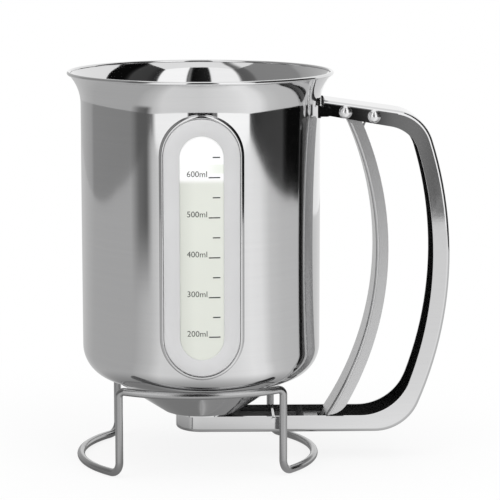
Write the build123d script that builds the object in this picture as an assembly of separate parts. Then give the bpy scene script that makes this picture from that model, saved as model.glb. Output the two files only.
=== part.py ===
"""Pancake batter dispenser: funnel cup, pistol grip with a trigger, slide gate and wire stand.

Units are millimetres and +Z is up. The model is drawn around the axis of the cup, with the
handle towards +X and the measuring window towards -Y, and stands on the plane Z = 0. On export
everything moves along X, so that the origin lies under the middle of the bounding box.
"""
from build123d import *
from math import acos, asin, atan2, cos, degrees, hypot, radians, sin, sqrt, tan
import os

# ---------------------------------------------------------------- driving dimensions: cup
CUP_HEIGHT = 153.7          # from the table to the top of the rim
CUP_R = 46.7                # outside of the straight wall
CUP_WALL = 0.8              # sheet of the spun cup
RIM_OUT = 5.2               # the rolled edge stands this far outside the straight wall
RIM_BEAD_R = 0.75           # radius of the rolled edge
FLARE_R = 17.0              # outside curve of the flared mouth
CORNER_R = 13.1             # outside curve between wall and shoulder
SHOULDER_RUN = 3.3          # radial run of the shallow shoulder
SHOULDER_SLOPE = 22.0       # degrees
CONE_SLOPE = 33.6           # degrees
FLOOR_R = 15.3              # the cone ends here on a flat floor ring

# ---------------------------------------------------------------- driving dimensions: outlet
NOZZLE_BORE_R = 6.0
NOZZLE_WALL = 1.6
NOZZLE_HEAD_LAND = 4.8      # the lead-in head inside the cup is this much wider than the nozzle
NOZZLE_HEAD_T = 0.4
NOZZLE_LEAD_IN = 2.2        # 45 degree funnel from the head into the bore
SEAL_T = 1.0
SEAL_RIB_H = 0.5            # rib that sits in the nozzle's groove
SEAL_RIB_W = 0.6
SADDLE_T = 1.25             # disc between cup floor and channel flanges
SADDLE_LAND = 1.4           # the disc stands this far out over the flanges
BOSS_FILL = 0.59            # boss and lock ring fill this much of the room round the nozzle
SADDLE_BOSS_H = 1.6
LOCK_RING_T = 1.2
LOCK_RING_BEVEL = 0.24      # of the ring's width

# ---------------------------------------------------------------- driving dimensions: handle
SHEET = 1.0                 # sheet of channel, trigger and bracket
BEND_IN_R = 0.4             # inside radius of the folded flanges
CHANNEL_W = 21.6            # outside width
ARM_Z = 11.6                # underside of the lower arm
FLANGE_H = 6.45             # flange height of grip and lower arm
FLANGE_H_TOP = 5.7          # flange height where the upper arm meets its bracket
ARM_DROP = 10.95            # the upper arm's top edge lies this far under the rim
ARM_SLOPE = 8.2             # degrees, falling away from the cup
ARM_START = 1.9             # reference point of the upper arm, off the cup wall
GRIP_REACH = 50.4           # outermost point of the grip, off the cup wall
GRIP_R = 150.0              # outside curve of the grip
GRIP_RAISE = 4.0            # centre of that curve above the middle of the two arms
TOP_BEND_R = 16.8           # outside of the bends
LOW_BEND_R = 18.6
TOP_EDGE_R = 13.5           # free edge of the flanges inside the bends
LOW_EDGE_R = 20.5
BRACKET_H = 4.8
BRACKET_EAR_H = 3.8
BRACKET_EAR_END = 3.9       # end of the ears, off the cup wall
WEB_CUT_BACK = 1.5          # start of the upper web, off the cup wall
FLANGE_CUT_BACK = 0.9       # start of the upper flanges, off the cup wall

# ---------------------------------------------------------------- driving dimensions: trigger
TRIGGER_R = 120.5           # outside curve of the web
TRIGGER_FLANGE = 4.9
TRIGGER_END_Z = 18.2
TRIGGER_END_OUT = 2.2       # lower end of the web, off the cup wall
TRIGGER_CORNER_R = 9.0      # the flanges' lower corners
TONGUE_W = 8.0
TONGUE_END_Z = 14.2
PIVOT_OUT = 9.2             # pivot pin, off the cup wall
PIVOT_DROP = 15.4           # pivot pin, under the rim
PIVOT_R = 1.2
PIVOT_EYE_R = 1.85
SPRING_PIN_OUT = 20.3
SPRING_PIN_DROP = 17.1
SPRING_PIN_R = 1.0
RIVET_HEAD_R = 2.55
RIVET_HEAD_H = 1.5
SPRING_WIRE_R = 0.4
SPRING_COIL_R = 1.55        # centre line of the coil
SPRING_TURNS = 3.0
SPRING_PITCH = 0.9
SPRING_LEG_DROP = 9.4       # the front leg meets the trigger's web this far under the pin
SPRING_BACK_LEG = 7.0       # straight end that lies under the upper arm

# ---------------------------------------------------------------- driving dimensions: gate
GATE_T = 0.8
GATE_FLANGE_H = 2.1
GATE_FLANGE_START = 12.0
GATE_STEP_H = 2.4           # the rear plate lies this much above the base
GATE_STEP_RUN = 3.0
GATE_TAIL = 2.3             # plate behind the slot
GATE_FRONT_LEDGE = 5.6      # plate before the slot
HOLD_PIN_X = 28.4
HOLD_PIN_R = 0.8
HOLD_PIN_HEAD_R = 1.1
HOLD_PIN_HEAD_H = 0.7

# ---------------------------------------------------------------- driving dimensions: window
WINDOW_W = 16.6             # clear width, measured round the wall
WINDOW_Z0 = 48.7
WINDOW_TOP_DROP = 20.4      # top of the clear opening, under the rim
BAND_LAND = 6.25            # width of the matte bezel
TRIM_W = 1.3                # width of the polished trim round the bezel
CUT_OUT_LAND = 2.7          # the wall's cut-out is this much wider than the opening
PANE_STEP = 0.7             # the pane's raised middle is this much wider than the opening
REBATE_LAND = 4.9           # pocket in the back of the bezel
GASKET_T = 0.4
PANE_T = 0.55
BAND_LIP_T = 0.3
TRIM_PROUD = 0.95

# ---------------------------------------------------------------- driving dimensions: stand
WIRE_R = 1.5
STAND_INSET = 0.3           # the feet's centre line lies this far inside the cup's wall
FOOT_ANGLE = 41.7           # degrees, each foot arc runs this far to both sides
FOOT_BEND_R = 4.7
BAR_BEND_R = 2.2
BAR_HEADING = 24.0          # degrees, the bars bow outwards
BAR_DIP = 2.5               # degrees, the bars fall from the posts to their middle
STAND_SHIFT_X = -1.6        # the dispenser stands a little off the stand's middle
STAND_TURN = 2.1            # degrees

# ---------------------------------------------------------------- clearances
REST_GAP = 0.3              # cup above the stand's bars
CURVE_GAP = 0.05            # between curved faces that are clamped or welded together
PIN_GAP = 0.05              # running clearance round pins
FIT_GAP = 0.1               # between window pieces, edge to edge
GATE_GAP = 0.1              # over and under the gate
GATE_SIDE_GAP = 0.25
SLOT_GAP = 0.35             # round the trigger's tongue
TRIGGER_SIDE_GAP = 0.3      # between the trigger and the channel's flanges
PAN_END_GAP = 0.3           # between the boss and the round end of the lower arm
OPEN_MARGIN = 1.05          # the open gate clears the seal by this much

# ---------------------------------------------------------------- sizes that follow
CUP_IN_R = CUP_R - CUP_WALL
RIM_R = CUP_R + RIM_OUT
CHANNEL_IN = CHANNEL_W / 2 - SHEET
TRIGGER_W = 2 * (CHANNEL_IN - TRIGGER_SIDE_GAP)
BEND_OUT_R = BEND_IN_R + SHEET
WEB_TOP = ARM_Z + SHEET
FLANGE_TOP = ARM_Z + FLANGE_H
CUP_FLOOR_Z = FLANGE_TOP + SADDLE_T
NOZZLE_R = NOZZLE_BORE_R + NOZZLE_WALL
NOZZLE_HEAD_R = NOZZLE_R + NOZZLE_HEAD_LAND
SADDLE_R = CHANNEL_W / 2 + SADDLE_LAND
SADDLE_BOSS_R = NOZZLE_R + BOSS_FILL * (CHANNEL_IN - NOZZLE_R)
PAN_END_X = CHANNEL_IN - SADDLE_BOSS_R - PAN_END_GAP     # centre of the lower arm's round end
SEAL_R = NOZZLE_R - FIT_GAP
GATE_Z = WEB_TOP + GATE_GAP
GATE_TOP = GATE_Z + GATE_T
SEAL_Z = GATE_TOP + GATE_GAP
NOZZLE_Z = SEAL_Z + SEAL_T
GATE_HALF_W = CHANNEL_IN - GATE_SIDE_GAP

CORNER_X = CUP_R - CORNER_R
SHOULDER_OUT_X = CORNER_X + CORNER_R * sin(radians(SHOULDER_SLOPE))
SHOULDER_IN_X = SHOULDER_OUT_X - SHOULDER_RUN
SHOULDER_IN_Z = CUP_FLOOR_Z + (SHOULDER_IN_X - FLOOR_R) * tan(radians(CONE_SLOPE))
SHOULDER_OUT_Z = SHOULDER_IN_Z + SHOULDER_RUN * tan(radians(SHOULDER_SLOPE))
CORNER_Z = SHOULDER_OUT_Z + CORNER_R * cos(radians(SHOULDER_SLOPE))

FLARE_X = CUP_R + FLARE_R
BEAD_X = RIM_R - RIM_BEAD_R
BEAD_Z = CUP_HEIGHT - RIM_BEAD_R
FLARE_ANGLE = acos((FLARE_X - BEAD_X) / (FLARE_R + CUP_WALL / 2))
FLARE_Z = BEAD_Z - (FLARE_R + CUP_WALL / 2) * sin(FLARE_ANGLE)

ARM_TOP_Z = CUP_HEIGHT - ARM_DROP
PIVOT = (CUP_R + PIVOT_OUT, CUP_HEIGHT - PIVOT_DROP)
SPRING_PIN = (CUP_R + SPRING_PIN_OUT, CUP_HEIGHT - SPRING_PIN_DROP)
HOLD_PIN_Z = GATE_Z + GATE_T + GATE_FLANGE_H + HOLD_PIN_R + 2 * GATE_GAP
REACH = CUP_R + GRIP_REACH
ORIGIN_X = (RIM_R - REACH) / 2

GATE_TRAVEL = GATE_HALF_W - PAN_END_X + SEAL_R + OPEN_MARGIN
SLOT_Z = GATE_Z + GATE_STEP_H + GATE_T / 2
LEVER_ARM = PIVOT[1] - SLOT_Z
TRIGGER_SWING = degrees(GATE_TRAVEL / LEVER_ARM)

WINDOW_Z1 = CUP_HEIGHT - WINDOW_TOP_DROP
BAND_FACE_R = CUP_R + CURVE_GAP + GASKET_T + CURVE_GAP + PANE_T + CURVE_GAP + BAND_LIP_T


# ---------------------------------------------------------------- geometry helpers
def side_face(*edges):
    """Face in the X-Z plane from edges that are drawn with X and Z as their two coordinates."""
    return Plane.XZ * make_face(list(edges))


def side_prism(face, width):
    """A side-view face thickened to both sides of the middle plane."""
    return extrude(face, amount=width / 2, both=True)


def cylinder_y(x, z, radius, y0, y1):
    """A cylinder along Y between two stations."""
    return extrude(Plane.XZ.offset(-y0) * Pos(x, z) * Circle(radius), amount=-(y1 - y0))


def turned(points):
    """A solid of revolution about the cup's axis from radius and height pairs."""
    return revolve(Plane.XZ * make_face(Polyline(*points, close=True)), Axis.Z)


def rod(edges, radius):
    """Round wire along a chain of tangent edges."""
    pieces = []
    for edge in edges:
        section = Plane(origin=edge @ 0, z_dir=edge % 0) * Circle(radius)
        pieces.append(sweep(section, path=edge))
    return pieces[0].fuse(*pieces[1:])


def circle_x(centre, radius, z):
    """X of the right-hand side of a circle of the X-Z plane at a height."""
    return centre[0] + sqrt(radius ** 2 - (z - centre[1]) ** 2)


# ---------------------------------------------------------------- cup
def cup_outline():
    """Outside of the cup from the hole in its floor to the end of the flare."""
    corner_start = (SHOULDER_OUT_X, SHOULDER_OUT_Z)
    flare_tip = (FLARE_X - FLARE_R * cos(FLARE_ANGLE), FLARE_Z + FLARE_R * sin(FLARE_ANGLE))
    return [
        Line((NOZZLE_R + CURVE_GAP, CUP_FLOOR_Z), (FLOOR_R, CUP_FLOOR_Z)),
        Line((FLOOR_R, CUP_FLOOR_Z), (SHOULDER_IN_X, SHOULDER_IN_Z)),
        Line((SHOULDER_IN_X, SHOULDER_IN_Z), corner_start),
        RadiusArc(corner_start, (CUP_R, CORNER_Z), -CORNER_R),
        Line((CUP_R, CORNER_Z), (CUP_R, FLARE_Z)),
        RadiusArc((CUP_R, FLARE_Z), flare_tip, FLARE_R),
    ]


def cup_solid(grow):
    """The cup's outside as a full solid with a gap round it, for what is fitted to its wall."""
    top = cup_outline()[-1] @ 1
    full = make_face(cup_outline() + [
        Line(top, (0, top.Y)),
        Line((0, top.Y), (0, CUP_FLOOR_Z)),
        Line((0, CUP_FLOOR_Z), (NOZZLE_R + CURVE_GAP, CUP_FLOOR_Z)),
    ])
    gap = make_face(offset(Wire(cup_outline()), amount=grow, side=Side.RIGHT, closed=True))
    return revolve(Plane.XZ * full, Axis.Z) + revolve(Plane.XZ * gap, Axis.Z)


def window_prism(land):
    """The window's outline, wider than the clear opening by a land all round."""
    width = WINDOW_W + 2 * land
    chord = 2 * CUP_R * sin(width / (2 * CUP_R))
    height = WINDOW_Z1 - WINDOW_Z0 + 2 * land
    middle = (WINDOW_Z0 + WINDOW_Z1) / 2
    slot = Plane.XZ * Pos(0, middle) * SlotOverall(height, chord, rotation=90)
    return extrude(slot, amount=RIM_R + FLARE_R)


def wall_patch(land, r_in, r_out):
    """A piece of a cylindrical shell with the window's outline."""
    height = CUP_HEIGHT
    shell = Cylinder(r_out, height) - Cylinder(r_in, height)
    return Pos(0, 0, height / 2) * shell & window_prism(land)


def cup_body():
    wall = offset(Wire(cup_outline()), amount=CUP_WALL, side=Side.LEFT, closed=True)
    shell = revolve(Plane.XZ * make_face(wall), Axis.Z)
    bead = revolve(Plane.XZ * Pos(BEAD_X, BEAD_Z) * Circle(RIM_BEAD_R), Axis.Z)
    return shell + bead - window_prism(CUT_OUT_LAND)


def window_gasket():
    r_wall = CUP_R + CURVE_GAP
    plug = wall_patch(CUT_OUT_LAND - FIT_GAP, CUP_IN_R + CURVE_GAP, r_wall)
    flange = wall_patch(REBATE_LAND - 2 * FIT_GAP, r_wall, r_wall + GASKET_T)
    return plug + flange - window_prism(PANE_STEP + FIT_GAP)


def window_pane():
    r_seat = CUP_R + CURVE_GAP + GASKET_T + CURVE_GAP
    plug = wall_patch(PANE_STEP, CUP_IN_R + CURVE_GAP, r_seat)
    flange = wall_patch(REBATE_LAND - 3 * FIT_GAP, r_seat, r_seat + PANE_T)
    return plug + flange


def window_band():
    body = wall_patch(BAND_LAND, CORNER_X, BAND_FACE_R)
    body = body - wall_patch(REBATE_LAND, 0.9 * CORNER_X, BAND_FACE_R - BAND_LIP_T)
    return body - cup_solid(CURVE_GAP) - window_prism(0)


def window_trim():
    body = wall_patch(BAND_LAND + TRIM_W, CORNER_X, CUP_R + TRIM_PROUD)
    return body - window_prism(BAND_LAND + FIT_GAP) - cup_solid(CURVE_GAP)


# ---------------------------------------------------------------- outlet
def outlet_saddle():
    hole = NOZZLE_R + CURVE_GAP
    return turned([
        (hole, CUP_FLOOR_Z), (SADDLE_R, CUP_FLOOR_Z), (SADDLE_R, FLANGE_TOP),
        (SADDLE_BOSS_R, FLANGE_TOP), (SADDLE_BOSS_R, FLANGE_TOP - SADDLE_BOSS_H),
        (hole, FLANGE_TOP - SADDLE_BOSS_H),
    ])


def lock_ring():
    hole = NOZZLE_R + CURVE_GAP
    top = FLANGE_TOP - SADDLE_BOSS_H
    base = top - LOCK_RING_T
    bevel = LOCK_RING_BEVEL * (SADDLE_BOSS_R - hole)
    return turned([
        (hole, base), (SADDLE_BOSS_R - bevel, base), (SADDLE_BOSS_R, base + bevel),
        (SADDLE_BOSS_R, top), (hole, top),
    ])


def seal_rib(width, height):
    middle = (NOZZLE_BORE_R + NOZZLE_R) / 2
    rib = Cylinder(middle + width / 2, height) - Cylinder(middle - width / 2, height)
    return Pos(0, 0, NOZZLE_Z + height / 2) * rib


def outlet_nozzle():
    floor_top = CUP_FLOOR_Z + CUP_WALL
    top = floor_top + NOZZLE_HEAD_T
    body = turned([
        (NOZZLE_BORE_R, NOZZLE_Z), (NOZZLE_R, NOZZLE_Z), (NOZZLE_R, floor_top),
        (NOZZLE_HEAD_R, floor_top), (NOZZLE_HEAD_R, top),
        (NOZZLE_BORE_R + NOZZLE_LEAD_IN, top), (NOZZLE_BORE_R, top - NOZZLE_LEAD_IN),
    ])
    return body - seal_rib(SEAL_RIB_W + 2 * CURVE_GAP, SEAL_RIB_H + CURVE_GAP)


def nozzle_seal():
    inside = NOZZLE_BORE_R + FIT_GAP
    ring = Cylinder(SEAL_R, SEAL_T) - Cylinder(inside, SEAL_T)
    return Pos(0, 0, SEAL_Z + SEAL_T / 2) * ring + seal_rib(SEAL_RIB_W, SEAL_RIB_H)


# ---------------------------------------------------------------- handle
def handle_centres(top_r=TOP_BEND_R, low_r=LOW_BEND_R):
    """Centres of the top bend, the grip's curve and the low bend, each tangent to the next.

    The radii are those of the outermost edge; an edge that lies further in has the same centre
    if its own radius is smaller by just that much.
    """
    slope = radians(ARM_SLOPE)
    along = (cos(slope), -sin(slope))
    normal = (sin(slope), cos(slope))
    grip = (REACH - GRIP_R, (ARM_TOP_Z + ARM_Z) / 2 + GRIP_RAISE)
    offset_x = CUP_R + ARM_START - top_r * normal[0] - grip[0]
    offset_z = ARM_TOP_Z - top_r * normal[1] - grip[1]
    b = offset_x * along[0] + offset_z * along[1]
    c = offset_x ** 2 + offset_z ** 2 - (GRIP_R - top_r) ** 2
    run = -b + sqrt(b * b - c)
    top = (grip[0] + offset_x + run * along[0], grip[1] + offset_z + run * along[1])
    low_z = ARM_Z + low_r
    low = (circle_x(grip, GRIP_R - low_r, low_z), low_z)
    return top, grip, low


def handle_side(depth, top_depth, start, end, edge_bends=(TOP_BEND_R, LOW_BEND_R)):
    """Side view of the handle between its outer edge, moved in by depth[0], and depth[1].

    The inner edge turns about the centres of bends with the radii edge_bends.
    """
    slope = radians(ARM_SLOPE)

    def path(inset, start_inset, bends):
        """Edges from the upper arm's end to the lower arm's end."""
        top, grip, low = handle_centres(*bends)

        def junction(centre, radius):
            """Point where a bend of this radius runs into the grip's curve."""
            away = atan2(centre[1] - grip[1], centre[0] - grip[0])
            return (centre[0] + radius * cos(away), centre[1] + radius * sin(away))

        r_top = bends[0] - inset
        r_low = bends[1] - inset
        bend = (top[0] + r_top * sin(slope), top[1] + r_top * cos(slope))
        arm_z = ARM_TOP_Z - (start - CUP_R - ARM_START) * tan(slope) - start_inset / cos(slope)
        into_grip = junction(top, r_top)
        out_of_grip = junction(low, r_low)
        return [
            Line((start, arm_z), bend),
            RadiusArc(bend, into_grip, r_top),
            RadiusArc(into_grip, out_of_grip, GRIP_R - inset),
            RadiusArc(out_of_grip, (low[0], low[1] - r_low), r_low),
            Line((low[0], low[1] - r_low), (end, ARM_Z + inset)),
        ]

    outer = path(depth[0], top_depth[0], (TOP_BEND_R, LOW_BEND_R))
    inner = path(depth[1], top_depth[1], edge_bends)
    caps = [Line(outer[0] @ 0, inner[0] @ 0), Line(outer[-1] @ 1, inner[-1] @ 1)]
    return side_face(*outer, *inner, *caps)


def pan_mask(inset):
    """Plan of the lower arm with its round end, as a tall solid."""
    half = CHANNEL_W / 2 - inset
    plan = Pos(PAN_END_X, 0) * Circle(half)
    plan = plan + Pos(PAN_END_X + REACH / 2, 0) * Rectangle(REACH, 2 * half)
    return extrude(plan, amount=CUP_HEIGHT)


def handle_channel():
    start = CUP_R + FLANGE_CUT_BACK
    end = PAN_END_X - CHANNEL_W / 2
    edge_bends = (FLANGE_H + TOP_EDGE_R, FLANGE_H + LOW_EDGE_R)
    side = handle_side((0, FLANGE_H), (0, FLANGE_H_TOP), start, end, edge_bends)
    body = side_prism(side, CHANNEL_W) & pan_mask(0)
    fold = body.edges().filter_by(lambda e: is_on_web(e, 0))
    body = fillet(fold, BEND_OUT_R)
    deeper = FLANGE_H + TOP_BEND_R / 3
    room = side_prism(
        handle_side((SHEET, deeper), (SHEET, deeper), start - SHEET, end), 2 * CHANNEL_IN)
    room = room & pan_mask(SHEET)
    room = fillet(room.edges().filter_by(lambda e: is_on_web(e, SHEET)), BEND_IN_R)
    body = body - room
    web_start = CUP_R + WEB_CUT_BACK
    cut_back = Box(web_start - start + SHEET, 2 * CHANNEL_IN, 4 * FLANGE_H)
    body = body - Pos((web_start + start - SHEET) / 2, 0, ARM_TOP_Z) * cut_back
    width = CHANNEL_W
    body = body - cylinder_y(*PIVOT, PIVOT_R + CURVE_GAP, -width, width)
    body = body - cylinder_y(*SPRING_PIN, SPRING_PIN_R + CURVE_GAP, -width, width)
    body = body - cylinder_y(HOLD_PIN_X, HOLD_PIN_Z, HOLD_PIN_R + CURVE_GAP, -width, width)
    return body - Pos(0, 0, ARM_Z) * Cylinder(SEAL_R, 4 * SHEET)


def is_on_web(edge, inset):
    """True for the long edges between the web's face at this inset and the flanges."""
    top, grip, low = handle_centres()
    half = CHANNEL_W / 2 - inset
    tol = 0.01
    for at in (0.25, 0.75):
        p = edge @ at
        in_round_end = p.X < PAN_END_X - tol
        on_side = abs(abs(p.Y) - half) < tol
        on_end = in_round_end and abs(hypot(p.X - PAN_END_X, p.Y) - half) < tol
        if not (on_side or on_end):
            return False
        arm_z = ARM_TOP_Z - (p.X - CUP_R - ARM_START) * tan(radians(ARM_SLOPE))
        faces = (
            abs(p.Z - arm_z + inset / cos(radians(ARM_SLOPE))),
            abs(p.Z - ARM_Z - inset),
            abs(hypot(p.X - grip[0], p.Z - grip[1]) - GRIP_R + inset),
            abs(hypot(p.X - top[0], p.Z - top[1]) - TOP_BEND_R + inset),
            abs(hypot(p.X - low[0], p.Z - low[1]) - LOW_BEND_R + inset),
        )
        if min(faces) > tol:
            return False
    return True


def handle_bracket():
    inside = CUP_R + CURVE_GAP
    outside = inside + SHEET
    ear_in = CHANNEL_W / 2 + CURVE_GAP
    ear_out = ear_in + SHEET
    middle = FLARE_Z - BRACKET_H / 2
    ring = Circle(outside) - Circle(inside)
    plate = ring & Pos(CUP_R, 0) * Rectangle(CUP_R, 2 * ear_out)
    base = Pos(0, 0, middle - BRACKET_H / 2) * extrude(plate, amount=BRACKET_H)
    ear_x0 = sqrt(inside ** 2 - ear_in ** 2)
    ear_x1 = CUP_R + BRACKET_EAR_END
    tip = BRACKET_EAR_H / 2
    ear = Pos((ear_x0 + ear_x1 - tip) / 2, 0) * Rectangle(ear_x1 - tip - ear_x0, BRACKET_EAR_H)
    ear = Plane.XZ * Pos(0, middle) * (ear + Pos(ear_x1 - tip, 0) * Circle(tip))
    ears = side_prism(ear, 2 * ear_out) - side_prism(ear, 2 * ear_in)
    wall = Pos(0, 0, middle) * Cylinder(inside, 2 * BRACKET_H)
    return base + (ears - wall)


def rivet(x, z, radius, hole_y):
    """A domed head and its shank; the shank ends inside the cap on the other side."""
    dome = revolve(rivet_dome(), Axis.Z)
    head = Plane(origin=(x, -hole_y, z), z_dir=(0, -1, 0)) * dome
    return head + cylinder_y(x, z, radius, -hole_y, hole_y)


def rivet_dome():
    """Half section of a domed rivet head that stands on its face."""
    sphere_r = (RIVET_HEAD_R ** 2 + RIVET_HEAD_H ** 2) / (2 * RIVET_HEAD_H)
    return Plane.XZ * make_face([
        Line((0, 0), (RIVET_HEAD_R, 0)),
        RadiusArc((RIVET_HEAD_R, 0), (0, RIVET_HEAD_H), -sphere_r),
        Line((0, RIVET_HEAD_H), (0, 0)),
    ])


def rivet_caps():
    caps = []
    for x, z in (PIVOT, SPRING_PIN):
        dome = revolve(rivet_dome(), Axis.Z)
        caps.append(Plane(origin=(x, CHANNEL_W / 2, z), z_dir=(0, 1, 0)) * dome)
    return Compound(caps)


def gate_hold_down_pin():
    half = CHANNEL_W / 2
    pin = cylinder_y(HOLD_PIN_X, HOLD_PIN_Z, HOLD_PIN_R, -half, half)
    for y0, y1 in ((-half - HOLD_PIN_HEAD_H, -half), (half, half + HOLD_PIN_HEAD_H)):
        pin = pin + cylinder_y(HOLD_PIN_X, HOLD_PIN_Z, HOLD_PIN_HEAD_R, y0, y1)
    return pin


# ---------------------------------------------------------------- trigger
def trigger_centre():
    """Centre of the trigger's curve, from its two end points and its radius."""
    x0, z0 = CUP_R + TRIGGER_END_OUT, TRIGGER_END_Z
    x1, z1 = PIVOT[0] + 0.5 * PIVOT_EYE_R, PIVOT[1] - 1.9 * PIVOT_EYE_R
    chord = hypot(x1 - x0, z1 - z0)
    rise = sqrt(TRIGGER_R ** 2 - chord ** 2 / 4)
    return (
        (x0 + x1) / 2 - rise * (z1 - z0) / chord,
        (z0 + z1) / 2 + rise * (x1 - x0) / chord,
    )


def trigger_band(r_in, r_out, z0, z1):
    """Side view of a stretch of the trigger between two radii and two heights."""
    centre = trigger_centre()
    ring = Pos(*centre) * (Circle(r_out) - Circle(r_in))
    reach = 2 * r_out
    window = Pos(centre[0] + reach / 2, (z0 + z1) / 2) * Rectangle(reach, z1 - z0)
    return ring & window


def trigger_lever():
    centre = trigger_centre()
    r_edge = TRIGGER_R + TRIGGER_FLANGE
    web_top = PIVOT[1] - 1.9 * PIVOT_EYE_R
    edge_top = PIVOT[1] - 1.4 * PIVOT_EYE_R
    side = trigger_band(TRIGGER_R, r_edge, TRIGGER_END_Z, edge_top)
    tip = (circle_x(centre, r_edge, TRIGGER_END_Z), TRIGGER_END_Z)
    corner = side.vertices().sort_by_distance((tip[0], tip[1], 0))[0]
    scrap = side - fillet(corner, TRIGGER_CORNER_R)
    neck = make_face(Polyline(
        (circle_x(centre, TRIGGER_R, edge_top), edge_top),
        (circle_x(centre, r_edge, edge_top), edge_top),
        (PIVOT[0] + PIVOT_EYE_R * cos(radians(40)), PIVOT[1] + PIVOT_EYE_R * sin(radians(40))),
        (PIVOT[0] - PIVOT_EYE_R * cos(radians(10)), PIVOT[1] - PIVOT_EYE_R * sin(radians(10))),
        close=True,
    ))
    side = side + neck + Pos(*PIVOT) * Circle(PIVOT_EYE_R)
    body = side_prism(Plane.XZ * side, TRIGGER_W)
    fold = body.edges().filter_by(lambda e: is_on_trigger_web(e, TRIGGER_R, TRIGGER_W / 2))
    body = fillet(fold, BEND_OUT_R)
    inside = TRIGGER_W - 2 * SHEET
    room = side_prism(
        Plane.XZ * trigger_band(TRIGGER_R + SHEET, 2 * r_edge, 0, CUP_HEIGHT), inside)
    room = fillet(
        room.edges().filter_by(lambda e: is_on_trigger_web(e, TRIGGER_R + SHEET, inside / 2)),
        BEND_IN_R)
    body = body - room
    above = Pos(PIVOT[0], 0, web_top + CUP_HEIGHT / 2) * Box(CUP_R, inside, CUP_HEIGHT)
    body = body - above - side_prism(Plane.XZ * scrap, TRIGGER_W)
    tongue = trigger_band(TRIGGER_R, TRIGGER_R + SHEET, TONGUE_END_Z, TRIGGER_END_Z + SHEET)
    body = body + side_prism(Plane.XZ * tongue, TONGUE_W)
    return body - cylinder_y(*PIVOT, PIVOT_R + PIN_GAP, -TRIGGER_W, TRIGGER_W)


def is_on_trigger_web(edge, radius, half):
    """True for the long edges between the trigger's web and its flanges."""
    centre = trigger_centre()
    for at in (0.25, 0.75):
        p = edge @ at
        if abs(hypot(p.X - centre[0], p.Z - centre[1]) - radius) > 0.01:
            return False
        if abs(abs(p.Y) - half) > 0.01:
            return False
    return True


def pivot_bush():
    half = TRIGGER_W / 2 - SHEET
    bush = cylinder_y(*PIVOT, PIVOT_EYE_R - CURVE_GAP, -half, half)
    return bush - cylinder_y(*PIVOT, PIVOT_R + PIN_GAP, -half, half)


# ---------------------------------------------------------------- trigger spring
def torsion_spring():
    """Coil on the spring pin, one leg behind the trigger's web and one under the upper arm."""
    height = SPRING_TURNS * SPRING_PITCH
    x, z = SPRING_PIN
    slope = radians(ARM_SLOPE)
    leg_r = TRIGGER_R + SHEET + SPRING_WIRE_R + GATE_GAP
    toe_z = z - SPRING_LEG_DROP
    toe = (circle_x(trigger_centre(), leg_r, toe_z), toe_z)
    reach = hypot(toe[0] - x, toe[1] - z)
    off = asin(SPRING_COIL_R / reach)
    aim = atan2(toe[1] - z, toe[0] - x)
    low_turn = aim - radians(90) + off + radians(360)
    start = (x + SPRING_COIL_R * cos(low_turn), z + SPRING_COIL_R * sin(low_turn))
    high_turn = radians(90) - slope
    end = (x + SPRING_COIL_R * cos(high_turn), z + SPRING_COIL_R * sin(high_turn))
    tail = (end[0] + SPRING_BACK_LEG * cos(slope), end[1] - SPRING_BACK_LEG * sin(slope))
    turns = SPRING_TURNS + (low_turn - high_turn) / radians(360)
    y0 = -height / 2
    y1 = y0 + turns * SPRING_PITCH
    base = Plane(origin=(x, y0, z), x_dir=(cos(low_turn), 0, sin(low_turn)), z_dir=(0, 1, 0))
    helix = base * Helix(SPRING_PITCH, turns * SPRING_PITCH, SPRING_COIL_R)
    front_leg = Line((toe[0], y0, toe[1]), (start[0], y0, start[1]))
    back_leg = Line((end[0], y1, end[1]), (tail[0], y1, tail[1]))
    wire = Wire([front_leg.edge(), helix.edge(), back_leg.edge()])
    section = Plane(origin=wire @ 0, z_dir=wire % 0) * Circle(SPRING_WIRE_R)
    return sweep(section, path=wire, is_frenet=True)


def spring_sleeves():
    half = CHANNEL_IN - FIT_GAP
    coil = SPRING_TURNS * SPRING_PITCH / 2 + 4 * SPRING_WIRE_R
    sleeves = []
    for y0, y1 in ((-half, -coil), (coil, half)):
        tube = cylinder_y(*SPRING_PIN, SPRING_COIL_R + SPRING_WIRE_R, y0, y1)
        sleeves.append(tube - cylinder_y(*SPRING_PIN, SPRING_PIN_R + CURVE_GAP, y0, y1))
    return Compound(sleeves)


# ---------------------------------------------------------------- gate
def gate_slot_x():
    """Front and rear of the trigger's tongue where it passes the gate's rear plate."""
    centre = trigger_centre()
    low, high = SLOT_Z - GATE_T, SLOT_Z + GATE_T
    return circle_x(centre, TRIGGER_R, low), circle_x(centre, TRIGGER_R + SHEET, high)


def slide_gate():
    slot_0, slot_1 = gate_slot_x()
    ledge = slot_0 - GATE_FRONT_LEDGE
    step = ledge - GATE_STEP_RUN
    tail = slot_1 + GATE_TAIL
    high = GATE_Z + GATE_STEP_H
    front = PAN_END_X - GATE_HALF_W
    side = side_face(Polyline(
        (front, GATE_Z), (step, GATE_Z), (ledge, high), (tail, high), (tail, high + GATE_T),
        (ledge - GATE_T / 4, high + GATE_T), (step - GATE_T / 4, GATE_TOP), (front, GATE_TOP),
        close=True,
    ))
    body = side_prism(side, 2 * GATE_HALF_W) & pan_mask(CHANNEL_W / 2 - GATE_HALF_W)
    length = step - GATE_FLANGE_START
    rail = Pos(GATE_FLANGE_START + length / 2, 0, GATE_TOP + GATE_FLANGE_H / 2)
    for side_of in (-1, 1):
        wall = Box(length, GATE_T, GATE_FLANGE_H)
        body = body + rail * Pos(0, side_of * (GATE_HALF_W - GATE_T / 2), 0) * wall
    slot = Box(slot_1 - slot_0 + 2 * SLOT_GAP, TONGUE_W + 2 * SLOT_GAP, 4 * GATE_T)
    return body - Pos((slot_0 + slot_1) / 2, 0, SLOT_Z) * slot


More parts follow.
